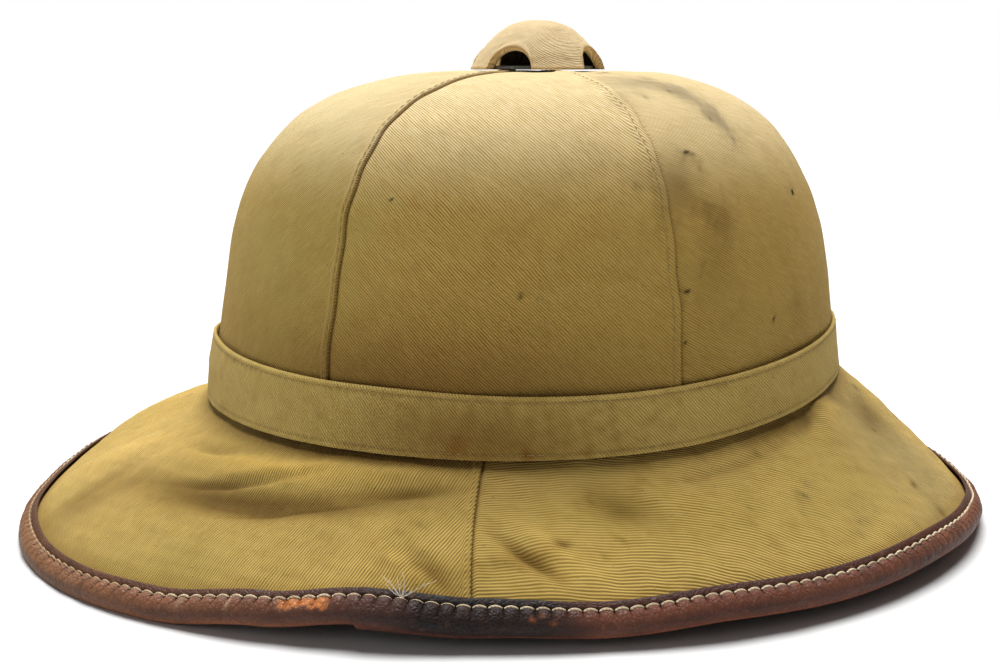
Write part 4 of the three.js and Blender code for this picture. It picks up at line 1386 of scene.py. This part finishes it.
def stitchPaths(points, normal):
    # cuts a line of points into short stitches that dip at both ends
    length = runLength(points)
    pitch = seamThread["length"] + seamThread["gap"]
    count = int(length[-1] / pitch)
    q = np.linspace(0, 1, 5)[None]
    at = (np.arange(count)[:, None] + q * seamThread["length"] / pitch) * pitch
    place = np.stack([np.interp(at, length, points[:, i]) for i in range(3)], -1)
    out = np.stack([np.interp(at, length, normal[:, i]) for i in range(3)], -1)
    lift = seamThread["radius"] * (1.6 * np.sin(np.pi * q) ** 0.5 - 0.9) - seamThread["sunk"]
    return place + out * lift[..., None]


def seamLine(seam, overSide, stitchIn):  # a line on the lap, a fixed distance in from its fold
    rise = np.linspace(0.02, 0.93, 500)
    rounded = crownRadius(np.radians(seam), crownHeight(np.radians(seam), rise))
    angle = seamTurn(seam, rise) + overSide * stitchIn / rounded
    grid = np.stack([angle - 0.01, angle, angle + 0.01], 1)
    outer, inner = crownSurface(grid, np.repeat(rise[:, None], 3, 1), np.zeros(grid.shape))
    normal = (outer - inner)[:, 1]
    normal /= np.linalg.norm(normal, axis=1, keepdims=True)
    return outer[:, 1] + normal * (panels["lapRaise"] - panels["stitchDip"] + 0.12), normal


def bandLine(upShare, out):  # round the band at that share of its width, with the way outwards
    angle = np.linspace(-np.pi, np.pi, 4000)
    ease, rise = bandSlack(angle, upShare)
    return bandPoint(angle, out + ease, upShare + rise), ringPoints(angle)


def makeSeamStitches():  # four seams of the crown, then the band's upper and lower hems
    lines = [
        stitchPaths(*seamLine(seamF, 1, stitchF)),
        stitchPaths(*seamLine(-seamF, -1, stitchF)),
        stitchPaths(*seamLine(seamB, 1, stitchB)),
        stitchPaths(*seamLine(-seamB, -1, stitchB)),
        stitchPaths(*bandLine(0.925, 1.72)),
        stitchPaths(*bandLine(0.095, 2.85)),
    ]
    paths = np.concatenate(lines)
    tone = np.ones((len(paths), 3))
    putTubes("seamStitches", paths, seamThread["radius"], 5, tone, khakiThread, "crown_cloth")
    print("seams are topstitched:", len(paths), "stitches")


makeSeamStitches()

# ---- ventilator

vent = {
    "x": crown["ventX"],
    "foot": domeBox[0][2],
    "height": domeBox[1][2] - domeBox[0][2],
    "radius": (domeBox[1][0] - domeBox[0][0]) / 2,
    "wall": 2.8,
    "archWidth": 16.4,
    "archHeight": 7.2,
    "archTurns": (-28, 62, 152, 242),
    "archPower": 2.3,
    "gather": 0.055,  # pulls columns towards the arches' sides
    "throat": 11,  # radius of the hole in the base ring
    "rowsOutside": 56,
    "rowsInside": 12,
    "columns": 400,
    "rollOut": 0.7,
    "roundPower": 1.1,
    "leanPower": 0.41,
    # painted shade: the dome's inside is darkened to this share of its colour
    "insideTone": 0.12,
}


def archEdge(turn):  # height * (1 - |x / half|^p)^(1/p) within each arch, 0 on the legs
    height = 0
    for centre in vent["archTurns"]:
        x = vent["radius"] * np.sin(np.radians(turned(np.degrees(turn), centre)))
        near = np.abs(turned(np.degrees(turn), centre)) < 60
        share = np.clip(np.abs(x) / (vent["archWidth"] / 2), 0, 1)
        arch = vent["archHeight"] * (1 - share ** vent["archPower"]) ** (1 / vent["archPower"])
        height = height + np.where(near, arch, 0)
    return height


def domeRadius(share):  # (1 - height^p)^q, as a share of the radius at the foot
    return (1 - np.clip(share, 0, 1) ** vent["roundPower"]) ** vent["leanPower"]


def ventTurns():  # columns gathered towards the sides of each arch
    even = np.linspace(0, 2 * np.pi, vent["columns"], endpoint=False)
    return even - vent["gather"] * np.sin(8 * (even - np.radians(vent["archTurns"][0])))


def makeDome():
    # rows from the pole down the outside to the arches' edge, round it, and up the inside
    turn = ventTurns()[None]
    low = archEdge(turn) / vent["height"]
    fall = np.linspace(0, 1, vent["rowsOutside"])[1:, None]
    share = 1 - (1 - low) * np.sin(fall * np.pi / 2) ** 1.2
    radius = vent["radius"] * domeRadius(share)
    height = vent["height"] * share
    toEdge = (share - low) * vent["height"] * 1.2
    legs = smooth((low * vent["height"]) / 1.5)
    roll = vent["rollOut"] * bell(toEdge - 0.9, 1.0) * mix(0.35, 1, legs)
    outer = ringPoints(turn, radius + roll)
    outer[..., 2] += height
    climb = np.linspace(0, 1, vent["rowsInside"])[:-1, None]
    inShare = low + (1 - low) * (1 - np.cos(climb * np.pi / 2)) ** 0.9
    inRadius = (vent["radius"] - vent["wall"]) * domeRadius(inShare) - 0.2
    inHeight = (vent["height"] - vent["wall"]) * inShare + 0.25 * (1 - climb)
    inner = ringPoints(turn, inRadius)
    inner[..., 2] += inHeight
    edgeRound = np.linspace(0, 1, 6)[1:-1, None, None]
    sink = 0.5 * np.sin(np.pi * edgeRound)
    under = mix(outer[-1], inner[0], edgeRound)
    under[..., 2] -= (sink * mix(0.1, 1, legs)[..., None])[..., 0]
    grid = np.concatenate([outer, under, inner])
    bumpy = 0.16 * unevenness(grid, 9, 51) + 0.07 * unevenness(grid, 3, 52)
    grid = grid * (1 + bumpy[..., None] / 25)
    grid[..., 2] = np.maximum(grid[..., 2], 0)
    grid += np.array([vent["x"], 0, vent["foot"]])
    poleOut = np.array([[vent["x"], 0, vent["foot"] + vent["height"]]])
    poleIn = np.array([[vent["x"], 0, vent["foot"] + vent["height"] - vent["wall"]]])
    rows, columns = grid.shape[:2]
    points = np.concatenate([grid.reshape(-1, 3), poleOut, poleIn])
    squares = gridSquares(rows, columns, wrapColumns=True)[0][:, ::-1]
    column = np.arange(columns)
    after = (column + 1) % columns
    topFan = np.stack([np.full(columns, rows * columns), column, after], -1)
    last = (rows - 1) * columns
    inFan = np.stack([np.full(columns, rows * columns + 1), last + after, last + column], -1)
    flat = weaveMap(points[:, 0] * 1.15, points[:, 1] * 1.15 + points[:, 2], 35)
    tone = np.ones((len(points), 3))
    grime = bell(share - low, 0.06).ravel()
    tone[: grime.size] = spotTone(tone[: grime.size], grime, (0.8, 0.7, 0.55))
    inside = np.arange(len(points)) >= (rows - vent["rowsInside"] + 1) * columns
    inside[-2] = False  # the outer pole comes after the inner rows
    # painted shade: the inside rows are darkened to near-black
    tone = np.where(inside[:, None], vent["insideTone"], tone)
    fans = np.concatenate([topFan, inFan])
    piece = putMesh("ventilatorDome", points, [(squares, flat[squares]), (fans, flat[fans])], tone)
    finishPiece(piece, ventCloth, "ventilator_cloth", "ventilator_dome")


def makeBase():
    # a washer with a rounded upper edge, dented slightly
    size = (ringBox[1] - ringBox[0]) / (2, 2, 1)
    shares = [(0, 0), (0.97, 0), (1, 0.25), (1, 0.7), (0.97, 1), (0.04, 1), (0, 0.85), (0, 0.25)]
    rim = size[0] - 0.1  # so that its dents stay inside the CAD ring
    corners = np.array([(mix(vent["throat"], rim, across), size[2] * up) for across, up in shares])
    loop = roundedLoop(corners, 2)
    turn = np.linspace(0, 2 * np.pi, 180, endpoint=False)[None]
    radius = loop[:, :1] + 0.12 * np.sin(3 * turn + 1) + 0.06 * np.sin(7 * turn)
    height = loop[:, 1:] + 0 * turn
    grid = ringPoints(turn, radius)
    grid[..., 2] += height
    grid += np.array([vent["x"], 0, ringBox[0][2]])
    weave = np.zeros((grid.shape[0] + 1, grid.shape[1] + 1, 2))
    piece = putRing("ventilatorBase", grid, weave, np.ones(grid.shape))
    finishPiece(piece, ringPaint, "ventilator_metal", "ventilator_base")


makeDome()
makeBase()
print("ventilator is fitted")
